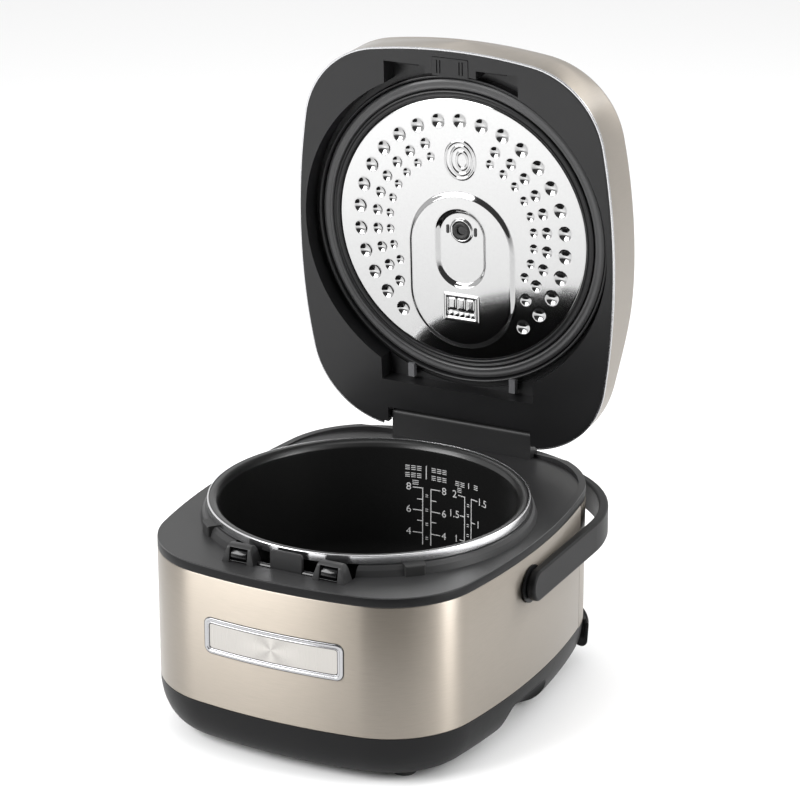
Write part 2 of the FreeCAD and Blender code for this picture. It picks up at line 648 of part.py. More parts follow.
def rim_of_handle(edge):
    """True for the long edges of the bail, apart from those at its pivots."""
    middle = edge.CenterOfMass
    upright = abs(edge.tangentAt(edge.FirstParameter).z) > 0.9 and edge.Length < HANDLE_H + 1
    return middle.y > 0 and not upright


def handle_bosses():
    """Bosses fixed in the sides of the shell, with the stubs that the bail turns on."""
    flange = rod(BOSS_R, (132.4, PIVOT_Y, PIVOT_Z), (133.6, PIVOT_Y, PIVOT_Z))
    stem = rod(BOSS_STEM_R, (124, PIVOT_Y, PIVOT_Z), (133, PIVOT_Y, PIVOT_Z))
    nut = rod(11, (124, PIVOT_Y, PIVOT_Z), (129.5, PIVOT_Y, PIVOT_Z))
    stub = rod(5, (133, PIVOT_Y, PIVOT_Z), (HANDLE_X - 2.3, PIVOT_Y, PIVOT_Z))
    return mirrored(join(flange, stem, nut, stub))


# ---------------------------------------------------------------- hook on the base
HOOK_ANGLE = 60.0
HOOK_HALF = 13.0
HOOK_OUT = 5.0
HOOK_LIP = 2.2


def corner_hook():
    """Open-topped hook that follows the rounded right rear corner of the base."""
    reach = box(60, 110, -HOOK_HALF, HOOK_HALF, 9.0, SHELL_BOTTOM - 2.5)
    reach.rotate(Vector(0, 0, 0), Z, HOOK_ANGLE)
    reach.translate(Vector(54.7, BODY_Y + 82.6, 0))
    hook = base_form(-HOOK_OUT).common(reach).cut(base_form(0))
    groove = base_form(HOOK_LIP - HOOK_OUT).cut(box(-200, 200, -200, 200, -10, SHELL_BOTTOM - 7.0))
    return hook.cut(groove)


# ---------------------------------------------------------------- lid, built closed
LID_PLANE = DECK_Z + PARTING_GAP
LID_EDGE = 0.8
RING_T = 1.5
LID_TOP = [(-150, 181.0), (-100, 187.0), (-40, 189.3), (15, 189.6), (55, 186.6), (92, 176.5), (122, 170.3),
           (150, 168.6), (176, 168.2)]


def lid_top_cutter(drop):
    """Everything above the top surface of the lid, lowered by drop."""
    curve = Part.BSplineCurve()
    curve.interpolate([Vector(-200, y, z - drop) for y, z in LID_TOP])
    first, last = curve.value(curve.FirstParameter), curve.value(curve.LastParameter)
    high_last, high_first = Vector(-200, last.y, 300), Vector(-200, first.y, 300)
    edges = [curve.toShape(), Part.makeLine(last, high_last), Part.makeLine(high_last, high_first)]
    edges.append(Part.makeLine(high_first, first))
    return Part.Face(Part.Wire(edges)).extrude(Vector(400, 0, 0))


def hinge_slot(y=149.5):
    """Room for the fixed hinge block in the rear edge of the lid."""
    return box(-HINGE_SLOT_HALF, HINGE_SLOT_HALF, y, 200, 100, 250)


def lid_shell():
    outer = prism(LID_EDGE, LID_Y, LID_PLANE, 195).common(above_parting(PARTING_GAP + RING_T))
    outer = outer.cut(lid_top_cutter(0))
    top = [e for e in outer.Edges if e.CenterOfMass.z > 165 and abs(e.tangentAt(e.FirstParameter).z) < 0.7]
    outer = outer.makeFillet(6.0, top)
    inner = prism(LID_EDGE + LID_WALL, LID_Y, LID_PLANE - 5, 195).cut(lid_top_cutter(LID_WALL))
    shell = outer.cut(inner).cut(hinge_slot())
    ear_half, ear_reach = EAR_X1 + 0.5, EAR_R + 0.4
    shell = shell.cut(box(-ear_half, ear_half, HINGE_Y - ear_reach, 200, 100, HINGE_Z + ear_reach))
    shell = shell.cut(rod(CAP_R + 0.5, (0, CAP_Y, 170), (0, CAP_Y, 200)))
    return shell.cut(rounded_slab(BUTTON_HALF_W + 0.4, BUTTON_HALF_D + 0.4, 5.4, 0, BUTTON_Y, 170, 200))


def lid_trim_ring():
    """Thin bright ring round the lower edge of the lid."""
    ring = wall(LID_EDGE - 0.2, 2.6, LID_Y, LID_PLANE - 3, 170)
    ring = ring.common(above_parting(PARTING_GAP)).cut(above_parting(PARTING_GAP + RING_T - 0.05))
    return ring.cut(hinge_slot())


NOTCH_X0, NOTCH_X1, NOTCH_Y = 21.0, 55.0, -130.5
LEDGE_HALF, LEDGE_Y, LEDGE_TOP = 64.5, 126.0, 163.0
EAR_X0, EAR_X1, EAR_R = 61.2, 68.0, 3.9


def recess_form(grow, ceiling):
    """The hollow in the underside of the lid, grown by the thickness of its walls."""
    round_part = rod(RECESS_R + grow, (0, 0, 140), (0, 0, ceiling))
    ledge_half = LEDGE_HALF + grow
    rear = box(-ledge_half, ledge_half, 60, LEDGE_Y + grow, 140, ceiling - (RECESS_TOP - LEDGE_TOP))
    notch = box(NOTCH_X0 - grow, NOTCH_X1 + grow, NOTCH_Y - grow, -90, 140, ceiling - 1.5)
    return join(round_part, rear, notch, notch.mirror(Vector(0, 0, 0), X))


def lid_inner_cover():
    """Black underside of the lid, with its recess, latch notches and hinge ears."""
    plate = prism(LID_EDGE + LID_WALL + 0.2, LID_Y, LID_PLANE - 3, 156)
    rimmed = plate.cut(prism(LID_EDGE + LID_WALL + 2.2, LID_Y, LID_PLANE + 6, 160))
    face = above_parting(PARTING_GAP)
    above_face = prism(LID_EDGE + LID_WALL + 2.2, LID_Y, 120, 158).common(above_parting(PARTING_GAP + 2.4))
    skin = rimmed.common(face).cut(above_face)
    well = recess_form(2.0, RECESS_TOP + 2).common(face).cut(lid_top_cutter(LID_WALL + 0.2))
    slot_half = HINGE_SLOT_HALF + 1.5
    slot_wall = box(-slot_half, slot_half, 147.4, 149.4, LID_PLANE, 166.1).common(face)
    cheek = box(EAR_X0, EAR_X1, 147.4, HINGE_Y, LID_PLANE, HINGE_Z + 2).common(face)
    cheek = cheek.common(prism(LID_EDGE + LID_WALL + 0.4, LID_Y, 100, 200))
    ear = rod(EAR_R, (EAR_X0, HINGE_Y, HINGE_Z), (EAR_X1, HINGE_Y, HINGE_Z)).fuse(cheek)
    guide = rounded_slab(17.2, 9.3, 2, 0, PUSH_Y, LID_PLANE, 158)
    cover = join(skin, well, slot_wall, ear, ear.mirror(Vector(0, 0, 0), X), guide)
    cover = cover.cut(recess_form(0, RECESS_TOP)).cut(hinge_slot(149.4))
    pin_hole = rod(PIN_R + 0.05, (-70, HINGE_Y, HINGE_Z), (70, HINGE_Y, HINGE_Z))
    cover = cover.cut(pin_hole).cut(rod(7, (0, 0, 150), (0, 0, 200)))
    return cover.cut(rounded_slab(PUSH_HALF_W + 0.3, PUSH_HALF_D + 0.3, 1.3, 0, PUSH_Y, 140, 156))


def lid_catches():
    """Steel catches in the notches, which the hooks hold."""
    catch = box(27.5, 44.5, NOTCH_Y, -128.9, 148.4, 150.0)
    catch = catch.fuse(box(27.5, 44.5, NOTCH_Y, NOTCH_Y + 0.8, 148.4, 158))
    return mirrored(catch)


def lid_heater():
    """Aluminium plate with a heating loop, lying on the roof of the recess."""
    plate = tube(52, 96, RECESS_TOP + 2.1, RECESS_TOP + 3.3)
    loop = Part.makeTorus(70, 1.6, Vector(0, 0, RECESS_TOP + 4.6), Z)
    return plate.fuse(loop)


CAP_R, CAP_Y = 25.5, 22.0
CAP_TOP = 192.0


def steam_duct():
    """Cup over the vent in the recess roof, open at the top to the steam cap."""
    cup = tube(23.4, 25.0, RECESS_TOP + 2.1, 183.5, 0, CAP_Y)
    floor = rod(25.0, (0, CAP_Y, RECESS_TOP + 2.1), (0, CAP_Y, RECESS_TOP + 3.9))
    return join(cup, floor).cut(rod(7, (0, 0, 160), (0, 0, 175)))


def steam_cap():
    """Lift-off steam cap with curved outlet slots."""
    disc = rod(CAP_R, (0, CAP_Y, 187.2), (0, CAP_Y, CAP_TOP))
    disc = disc.makeFillet(1.6, [e for e in disc.Edges if e.CenterOfMass.z > CAP_TOP - 0.1])
    skirt = tube(20.8, 23.0, 172.5, 188, 0, CAP_Y)
    cap = disc.fuse(skirt)
    for side in (-1, 1):
        for row in range(3):
            x = side * (6 + 5 * row)
            half = 12 - 2.5 * row
            cap = cap.cut(box(x - 1, x + 1, CAP_Y - half, CAP_Y + half, 180, 200))
    return cap.removeSplitter()


BUTTON_Y, BUTTON_HALF_W, BUTTON_HALF_D = -116.0, 30.0, 11.0


def open_button():
    """Large push button on the lid, with its plunger."""
    pad = rounded_slab(BUTTON_HALF_W, BUTTON_HALF_D, 5, 0, BUTTON_Y, 182.2, 187.2)
    pad = pad.makeFillet(1.0, [e for e in pad.Edges if e.CenterOfMass.z > 187.1])
    stem = box(-12, 12, BUTTON_Y - 4, BUTTON_Y + 4, 172, 183)
    return join(pad, stem)


def button_springs():
    springs = [tube(2.2, 3.4, RECESS_TOP + 2.1, 179.5, x, BUTTON_Y) for x in (-21, 21)]
    return Part.makeCompound(springs)


PUSH_Y, PUSH_HALF_W, PUSH_HALF_D = -131.0, 14.8, 6.9


def inner_lid_button():
    """Ribbed button on the underside of the lid, which frees the inner lid."""
    pad = rounded_slab(PUSH_HALF_W, PUSH_HALF_D, 1.2, 0, PUSH_Y, LID_PLANE - 0.5, 153)
    for place in (-10.5, -7.9, 7.9, 10.5):
        pad = pad.cut(box(place - 0.55, place + 0.55, PUSH_Y - 5, PUSH_Y + 5, 140, LID_PLANE + 0.4))
    return pad


# ---------------------------------------------------------------- inner lid, built closed
PLATE_Z = RIM_Z + 0.9
PLATE_R = 103.3


def inner_lid_plate():
    """Steel plate with a turned-up edge, a raised vent boss and rings of shallow dimples."""
    plate = rod(PLATE_R, (0, 0, PLATE_Z), (0, 0, PLATE_Z + 0.8))
    edge = tube(PLATE_R - 0.8, PLATE_R, PLATE_Z, PLATE_Z + 2.6)
    plate = plate.fuse(edge).cut(rod(6.2, (0, 0, 150), (0, 0, 170)))
    return plate.removeSplitter()


def inner_lid_frame():
    """Carrier of the plate and the seal."""
    ring = turned([(103.5, 160.2), (108.8, 160.2), (109.4, 163.4), (118.6, 163.4), (119.2, 158.4),
                   (121.4, 158.4), (121.4, 164.4), (96.0, 164.4), (96.0, 163.7), (103.5, 163.7)])
    tongue = box(-52, 52, 112, 122.4, 161.0, 162.3).cut(rod(119.4, (0, 0, 150), (0, 0, 170)))
    return join(ring, tongue)


def seal_ring():
    """Soft ring that presses on the rim of the pot."""
    return turned([(109.9, 163.2), (109.6, 161.4), (111.5, 160.4),
                   (116.5, 160.4), (118.2, 161.4), (118.0, 163.2)])


def inner_lid_lugs():
    """Two lugs at the foot of the inner lid, which stand on the ledge."""
    lug = box(40.5, 45.5, 112.5, 123.5, 156.0, 160.9).cut(rod(119.4, (0, 0, 158.0), (0, 0, 170)))
    lug = lug.cut(rod(121.5, (0, 0, 158.2), (0, 0, 170)))
    return mirrored(lug)


def vent_grommet():
    """Rubber bush in the vent hole of the plate."""
    return turned([(3.6, 159.6), (7.6, 159.6), (7.6, PLATE_Z - 0.05), (6.1, PLATE_Z - 0.05),
                   (6.1, PLATE_Z + 0.9), (7.4, PLATE_Z + 0.9), (7.4, 163.6), (3.6, 163.6)])


BODY_PARTS = [base_tub, base_screws, rubber_feet, body_shell, rear_cover, power_inlet, inlet_pins,
              panel_bezel, panel_plate, display_board, top_deck, pot_rests, latch_bar, latch_pin,
              latch_springs, hinge_cover, hinge_pin, hinge_springs, coil_bowl, induction_coil,
              ferrite_bars, coil_support, centre_sensor, sensor_spring, power_board, heatsink,
              fan_frame, fan_rotor, inner_pot, carry_handle, handle_bosses, corner_hook]
LID_PARTS = [lid_shell, lid_trim_ring, lid_inner_cover, lid_catches, lid_heater, steam_duct, steam_cap,
             open_button, button_springs, inner_lid_button, inner_lid_plate, inner_lid_frame, seal_ring,
             inner_lid_lugs, vent_grommet]

os.makedirs("parts", exist_ok=True)
for build in BODY_PARTS:
    save(build.__name__, build())
for build in LID_PARTS:
    save_lid(build.__name__, build())
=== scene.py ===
"""Looks of the rice cooker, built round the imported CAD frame.

Shapes are drawn in millimetres in the cooker's own frame: x to the right, y backwards from the axis of
the inner pot, z above the table. Pieces of the lid are drawn closed and swung open about the hinge.
"""
import json
import math
import bmesh
import bpy
import numpy as np
from mathutils import Matrix, Vector


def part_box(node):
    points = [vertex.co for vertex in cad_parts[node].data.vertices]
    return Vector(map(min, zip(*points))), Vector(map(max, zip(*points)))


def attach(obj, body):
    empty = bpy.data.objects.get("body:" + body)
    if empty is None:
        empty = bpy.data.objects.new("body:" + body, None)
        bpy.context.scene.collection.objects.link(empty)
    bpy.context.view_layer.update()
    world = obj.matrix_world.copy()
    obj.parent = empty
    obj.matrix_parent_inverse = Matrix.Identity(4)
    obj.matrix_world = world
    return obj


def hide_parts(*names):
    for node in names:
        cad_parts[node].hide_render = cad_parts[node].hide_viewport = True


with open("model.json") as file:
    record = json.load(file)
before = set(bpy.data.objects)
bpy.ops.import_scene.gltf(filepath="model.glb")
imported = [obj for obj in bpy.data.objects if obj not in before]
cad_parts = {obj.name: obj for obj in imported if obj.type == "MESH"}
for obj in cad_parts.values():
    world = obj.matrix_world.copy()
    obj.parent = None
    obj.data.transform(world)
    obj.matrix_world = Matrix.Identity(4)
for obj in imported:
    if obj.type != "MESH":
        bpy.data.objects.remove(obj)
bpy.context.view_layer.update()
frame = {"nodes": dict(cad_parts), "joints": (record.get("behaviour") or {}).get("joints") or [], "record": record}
NODES = frame["nodes"]
JOINTS = {joint["name"]: joint for joint in frame["joints"]}
SLOT_OF = {part["node"]: part["material_slot"] for part in frame["record"]["subparts"]}

MM = 0.001
pot_low, pot_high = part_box("inner_pot")
POT_Y = (pot_low.y + pot_high.y) / 2
RIM_Z = pot_high.z
RIM_R = (pot_high.x - pot_low.x) / 2


# ---------------------------------------------------------------- materials
def new_material(name):
    material = bpy.data.materials.new(name)
    material.use_nodes = True
    tree = material.node_tree
    return material, tree, tree.nodes["Principled BSDF"]


def node(tree, kind, **values):
    """A new node. Values name its properties, or its input sockets with _ for a space."""
    made = tree.nodes.new(kind)
    for key, value in values.items():
        if hasattr(made, key):
            setattr(made, key, value)
        else:
            made.inputs[key.replace("_", " ")].default_value = value
    return made


def coordinates(tree, scale):
    """Object coordinates, in metres, stretched by scale along each axis."""
    where = node(tree, "ShaderNodeTexCoord")
    mapping = node(tree, "ShaderNodeMapping")
    mapping.inputs["Scale"].default_value = scale
    tree.links.new(where.outputs["Object"], mapping.inputs["Vector"])
    return mapping.outputs["Vector"]


def noise(tree, scale, detail=2.0, stretch=(1, 1, 1)):
    made = node(tree, "ShaderNodeTexNoise", Scale=scale, Detail=detail)
    tree.links.new(coordinates(tree, stretch), made.inputs["Vector"])
    return made.outputs["Fac"]


def ramp(tree, source, low, high, start=0.3, end=0.7):
    """Maps a 0 to 1 value to numbers or colours between low and high."""
    made = node(tree, "ShaderNodeMapRange")
    made.inputs["From Min"].default_value = start
    made.inputs["From Max"].default_value = end
    made.inputs["To Min"].default_value = low
    made.inputs["To Max"].default_value = high
    tree.links.new(source, made.inputs["Value"])
    return made.outputs["Result"]


def tint(tree, source, low, high, start=0.3, end=0.7):
    made = node(tree, "ShaderNodeValToRGB")
    made.color_ramp.elements[0].position, made.color_ramp.elements[1].position = start, end
    made.color_ramp.elements[0].color = (*low, 1)
    made.color_ramp.elements[1].color = (*high, 1)
    tree.links.new(source, made.inputs["Fac"])
    return made.outputs["Color"]


def bump(tree, shader, height, strength, distance):
    made = node(tree, "ShaderNodeBump", Strength=strength, Distance=distance)
    tree.links.new(height, made.inputs["Height"])
    tree.links.new(made.outputs["Normal"], shader.inputs["Normal"])


def shades(colour, spread):
    """A darker and a lighter shade of a colour."""
    return tuple(c * (1 - spread) for c in colour), tuple(min(1.0, c * (1 + spread)) for c in colour)


def moulded(name, colour, rough, grain=9000.0, depth=0.25, spread=0.12, specular=0.5, coat=0.0):
    """Moulded plastic or rubber: fine texture in the relief, and slow variation in colour and gloss."""
    material, tree, shader = new_material(name)
    slow = noise(tree, 14.0, 3.0)
    tree.links.new(tint(tree, slow, *shades(colour, spread)), shader.inputs["Base Color"])
    fine = noise(tree, grain, 2.0)
    tree.links.new(ramp(tree, fine, rough * 0.85, rough * 1.15), shader.inputs["Roughness"])
    bump(tree, shader, fine, depth, 0.00004)
    shader.inputs["Specular IOR Level"].default_value = specular
    shader.inputs["Coat Weight"].default_value = coat
    shader.inputs["Coat Roughness"].default_value = 0.08
    return material


def metal(name, colour, rough, stretch=(1, 1, 1), grain=600.0, depth=0.12, spread=0.05):
    """Metal with a drawn or brushed grain. The grain runs along the axis with the smallest stretch."""
    material, tree, shader = new_material(name)
    fine = noise(tree, grain, 3.0, stretch)
    tree.links.new(tint(tree, fine, *shades(colour, spread)), shader.inputs["Base Color"])
    tree.links.new(ramp(tree, fine, rough * 0.85, rough * 1.2), shader.inputs["Roughness"])
    bump(tree, shader, fine, depth, 0.00002)
    shader.inputs["Metallic"].default_value = 1.0
    return material


def lacquered(name, colour, rough, turned_grain=0.0):
    """Brushed metal under clear lacquer. The grain runs round the body, so lights draw out into bands."""
    material, tree, shader = new_material(name)
    streaks = noise(tree, 90.0, 4.0, stretch=(1.0, 1.0, 40.0))
    tree.links.new(tint(tree, streaks, *shades(colour, 0.05)), shader.inputs["Base Color"])
    tree.links.new(ramp(tree, streaks, rough * 0.95, rough * 1.05), shader.inputs["Roughness"])
    tangent = node(tree, "ShaderNodeTangent", direction_type="RADIAL", axis="Z")
    tree.links.new(tangent.outputs["Tangent"], shader.inputs["Tangent"])
    shader.inputs["Metallic"].default_value = 1.0
    shader.inputs["Anisotropic"].default_value = 0.85
    shader.inputs["Anisotropic Rotation"].default_value = turned_grain
    shader.inputs["Coat Weight"].default_value = 0.5
    shader.inputs["Coat Roughness"].default_value = 0.25
    return material


def calculated(tree, operation, *sources):
    """A Math node. Each source is a number or another node's output."""
    made = node(tree, "ShaderNodeMath", operation=operation)
    for socket, source in zip(made.inputs, sources):
        if isinstance(source, (int, float)):
            socket.default_value = source
        else:
            tree.links.new(source, socket)
    return made.outputs["Value"]


def spun_with_painted_highlight(name, colour, rough, centre, spread=0.16, reach=0.030):
    """Metal turned about a centre on the front: fine rings in the roughness and relief, and a painted highlight of
    light and dark wedges in the colour, which fades outwards.
    """
    material, tree, shader = new_material(name)
    where = node(tree, "ShaderNodeTexCoord")
    away = node(tree, "ShaderNodeVectorMath", operation="SUBTRACT")
    tree.links.new(where.outputs["Object"], away.inputs[0])
    away.inputs[1].default_value = centre
    split = node(tree, "ShaderNodeSeparateXYZ")
    tree.links.new(away.outputs["Vector"], split.inputs["Vector"])
    # Painted highlight: light and dark wedges in the base colour about the centre, in place of the star that lamps
    # draw on turned metal.
    angle = calculated(tree, "ARCTAN2", split.outputs["Z"], split.outputs["X"])
    painted_highlight_wedges = calculated(tree, "COSINE", calculated(tree, "MULTIPLY", angle, 4.0))
    flat = calculated(tree, "MULTIPLY", split.outputs["X"], split.outputs["X"])
    square = calculated(tree, "MULTIPLY_ADD", split.outputs["Z"], split.outputs["Z"], flat)
    distance = calculated(tree, "SQRT", square)
    strength = ramp(tree, distance, 0.5, 0.0, start=0.0, end=reach)
    share = calculated(tree, "MULTIPLY_ADD", painted_highlight_wedges, strength, 0.5)
    tree.links.new(tint(tree, share, *shades(colour, spread), 0.0, 1.0), shader.inputs["Base Color"])
    rings = node(tree, "ShaderNodeTexNoise", noise_dimensions="1D", Scale=2500.0, Detail=2.0)
    tree.links.new(distance, rings.inputs["W"])
    tree.links.new(ramp(tree, rings.outputs["Fac"], rough * 0.9, rough * 1.1), shader.inputs["Roughness"])
    bump(tree, shader, rings.outputs["Fac"], 0.02, 0.00002)
    shader.inputs["Metallic"].default_value = 1.0
    return material


CHAMPAGNE = (0.265, 0.236, 0.200)
FINE_GRAIN = 12000
plate_low, plate_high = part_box("panel_plate")
MATERIALS = {
    "champagne_metal": lacquered("champagne_metal", CHAMPAGNE, 0.42, turned_grain=0.25),
    "champagne_cover": lacquered("champagne_cover", CHAMPAGNE, 0.42),
    "black_plastic": moulded("black_plastic", (0.006, 0.006, 0.0064), 0.40, specular=0.14),
    "deck_plastic": moulded("deck_plastic", (0.022, 0.022, 0.0225), 0.40, FINE_GRAIN, 0.15, specular=0.26),
    "lid_plastic": moulded("lid_plastic", (0.009, 0.009, 0.0095), 0.36, FINE_GRAIN, 0.15, specular=0.3),
    "handle_plastic": moulded("handle_plastic", (0.007, 0.007, 0.0074), 0.42, specular=0.12),
    "gloss_black": moulded("gloss_black", (0.004, 0.004, 0.0045), 0.16, depth=0.05, specular=0.35, coat=0.1),
    "chrome_trim": metal("chrome_trim", (0.36, 0.36, 0.37), 0.08, depth=0.004, spread=0.02),
    # The window plate's colour carries a painted highlight, a star of light and dark wedges.
    "window_plate": spun_with_painted_highlight("window_plate", (0.41, 0.395, 0.375), 0.30, (plate_low + plate_high) / 2),
    "silver_ring": metal("silver_ring", (0.42, 0.42, 0.43), 0.25, depth=0.02),
    "rim_steel": metal("rim_steel", (0.62, 0.62, 0.63), 0.20, (1, 1, 12), grain=300, depth=0.01, spread=0.02),
    "nonstick": moulded("nonstick", (0.006, 0.006, 0.006), 0.30, grain=5000, depth=0.2),
    "polished_steel": metal("polished_steel", (0.38, 0.38, 0.38), 0.07, depth=0.004, spread=0.02),
    "grey_rubber": moulded("grey_rubber", (0.035, 0.035, 0.036), 0.40),
    "black_rubber": moulded("black_rubber", (0.010, 0.010, 0.010), 0.55),
    "grey_plastic": moulded("grey_plastic", (0.10, 0.10, 0.105), 0.40),
    "spring_steel": metal("spring_steel", (0.55, 0.55, 0.57), 0.25),
    "copper": metal("copper", (0.72, 0.32, 0.14), 0.30),
    "ferrite": moulded("ferrite", (0.03, 0.03, 0.032), 0.60),
    "bowl_plastic": moulded("bowl_plastic", (0.022, 0.022, 0.022), 0.45),
    "board_green": moulded("board_green", (0.02, 0.12, 0.05), 0.35),
    "aluminium": metal("aluminium", (0.72, 0.73, 0.74), 0.32),
    "steel_pin": metal("steel_pin", (0.60, 0.60, 0.62), 0.22),
    "scale_print": moulded("scale_print", (0.62, 0.62, 0.62), 0.5),
    "fan_plastic": moulded("fan_plastic", (0.014, 0.014, 0.014), 0.45),
}
for name, part in NODES.items():
    part.data.materials.clear()
    part.data.materials.append(MATERIALS[SLOT_OF[name]])


# ---------------------------------------------------------------- mesh helpers
HINGE = Vector(JOINTS["lid_hinge"]["pos_m"])
LID_OPEN = math.radians(abs(JOINTS["lid_hinge"]["range_deg"][0]))
SWING = Matrix.Translation(HINGE) @ Matrix.Rotation(-LID_OPEN, 4, "X") @ Matrix.Translation(-HINGE)


def piece(name, points, faces, body, slot, stands_for=(), swung=False, sharp=35.0):
    """A mesh from points in millimetres, which rides on a body. Pieces of the lid are swung open."""
    mesh = bpy.data.meshes.new(name)
    mesh.from_pydata([(x * MM, y * MM + POT_Y, z * MM) for x, y, z in points], [], faces)
    form = bmesh.new()
    form.from_mesh(mesh)
    bmesh.ops.remove_doubles(form, verts=form.verts, dist=1e-6)
    bmesh.ops.recalc_face_normals(form, faces=form.faces)
    form.to_mesh(mesh)
    form.free()
    if swung:
        mesh.transform(SWING)
    made = bpy.data.objects.new(name, mesh)
    bpy.context.scene.collection.objects.link(made)
    if slot:
        mesh.materials.append(MATERIALS[slot])
    mesh.shade_smooth()
    mesh.set_sharp_from_angle(angle=math.radians(sharp))
    if body:
        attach(made, body)
    if stands_for:
        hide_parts(*stands_for)
    return made


def modified(made, kind, sharp=35.0, **values):
    """Adds a modifier and applies it at once."""
    modifier = made.modifiers.new(kind.lower(), kind)
    for key, value in values.items():
        setattr(modifier, key, value)
    graph = bpy.context.evaluated_depsgraph_get()
    mesh = bpy.data.meshes.new_from_object(made.evaluated_get(graph))
    made.modifiers.clear()
    old, made.data = made.data, mesh
    bpy.data.meshes.remove(old)
    mesh.shade_smooth()
    mesh.set_sharp_from_angle(angle=math.radians(sharp))
    return made


def cut(made, cutter):
    modified(made, "BOOLEAN", operation="DIFFERENCE", object=cutter, solver="EXACT")
    bpy.data.objects.remove(cutter)
    return made


def skin(rings, wrap=True, closed=False, caps=False):
    """Points and faces over a stack of rings. wrap closes each ring, closed joins the last to the first."""
    count = len(rings[0])
    points = [point for ring in rings for point in ring]
    faces = []
    for level in range(len(rings) if closed else len(rings) - 1):
        low, high = level * count, (level + 1) % len(rings) * count
        for place in range(count if wrap else count - 1):
            after = (place + 1) % count
            faces.append((low + place, low + after, high + after, high + place))
    if caps:
        faces.append(tuple(range(count))[::-1])
        faces.append(tuple(range(len(points) - count, len(points))))
    return points, faces


def softened(points, radius, steps=4, closed=True):
    """The outline with each corner rounded. radius is one number, or one for each point."""
    radii = radius if isinstance(radius, (list, tuple)) else [radius] * len(points)
    vectors = [Vector(point) for point in points]
    count, result = len(vectors), []
    for place, here in enumerate(vectors):
        if not closed and place in (0, count - 1):
            result.append(tuple(here))
            continue
        before, after = vectors[place - 1] - here, vectors[(place + 1) % count] - here
        reach = min(radii[place], before.length * 0.49, after.length * 0.49)
        if reach < 1e-4:
            result.append(tuple(here))
            continue
        start, end = here + before.normalized() * reach, here + after.normalized() * reach
        for step in range(steps + 1):
            t = step / steps
            result.append(tuple(start * (1 - t) ** 2 + here * (2 * t * (1 - t)) + end * t ** 2))
    return result


def softened_yz(points, radius):
    """A closed outline of (y, z) pairs, with each corner rounded."""
    return [(y, z) for y, z, _ in softened([(y, z, 0) for y, z in points], radius, 4)]


def turned(profile, closed=True, steps=192):
    """Surface of revolution about the pot's axis from (radius, height) points."""
    rings = []
    for step in range(steps):
        angle = math.tau * step / steps
        rings.append([(r * math.cos(angle), r * math.sin(angle), z) for r, z in profile])
    return skin(rings, wrap=closed, closed=True)


SIDES = ((-1, "left"), (1, "right"))
SIDE_R, FRONT_R, CORNER_R = 550.0, 428.0, 70.4
shell_low, shell_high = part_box("body_shell")
HALF_W = (shell_high.x - shell_low.x) / 2 / MM
HALF_D = 157.3
BODY_Y = shell_low.y / MM - POT_Y / MM + HALF_D
LID_Y = BODY_Y + 1.5


def outline(inset, middle):
    """Plan of the body or lid, inset all round: (x, y) points anticlockwise from the right side's middle."""
    side_c, front_c = Vector((HALF_W - SIDE_R, 0)), Vector((0, HALF_D - FRONT_R))
    to_side, to_front = SIDE_R - CORNER_R, FRONT_R - CORNER_R
    apart = (front_c - side_c).length
    along = (to_side ** 2 - to_front ** 2 + apart ** 2) / (2 * apart)
    unit = (front_c - side_c).normalized()
    corner = side_c + unit * along + Vector((-unit.y, unit.x)) * math.sqrt(to_side ** 2 - along ** 2)
    side_a = math.atan2(corner.y - side_c.y, corner.x - side_c.x)
    front_a = math.atan2(corner.y - front_c.y, corner.x - front_c.x)
    arcs = [(side_c, SIDE_R, 0, side_a, 16),
            (corner, CORNER_R, side_a, front_a, 28),
            (front_c, FRONT_R, front_a, math.pi / 2, 12)]
    quarter = []
    for centre, radius, start, end, steps in arcs:
        for step in range(steps):
            angle = start + (end - start) * step / steps
            quarter.append(centre + Vector((math.cos(angle), math.sin(angle))) * (radius - inset))
    quarter.append(front_c + Vector((0, FRONT_R - inset)))
    rear = quarter + [Vector((-p.x, p.y)) for p in reversed(quarter[:-1])]
    front = [Vector((p.x, -p.y)) for p in reversed(rear[1:-1])]
    return [(p.x, p.y + middle) for p in rear + front]


def front_y(x, proud):
    """Place of the body's front face, proud of it by so much."""
    return BODY_Y - (HALF_D - FRONT_R + math.sqrt((FRONT_R + proud) ** 2 - x * x))


PARTING_FLAT_Y, PARTING_END_Y, PARTING_RISE = 40.0, 172.0, 4.4
DECK_Z = 145.6


def parting_z(y, lift):
    """Height of the line between deck and closed lid, which curves up towards the rear."""
    along = min(max((y - PARTING_FLAT_Y) / (PARTING_END_Y - PARTING_FLAT_Y), 0), 1)
    return DECK_Z + lift + PARTING_RISE * along ** 2


def rounded_box(half_w, half_h, radius, steps=8):
    """Rounded rectangle as (u, v) points about its middle."""
    points = []
    for quadrant, (sx, sy) in enumerate(((1, 1), (-1, 1), (-1, -1), (1, -1))):
        for step in range(steps + 1):
            angle = math.radians(90) * (quadrant + step / steps)
            points.append((sx * (half_w - radius) + radius * math.cos(angle),
                           sy * (half_h - radius) + radius * math.sin(angle)))
    return points


# ---------------------------------------------------------------- outer casing
SHELL_BOTTOM, SHELL_TOP = shell_low.z / MM, shell_high.z / MM
REAR_SEAM_Y = shell_high.y / MM - POT_Y / MM


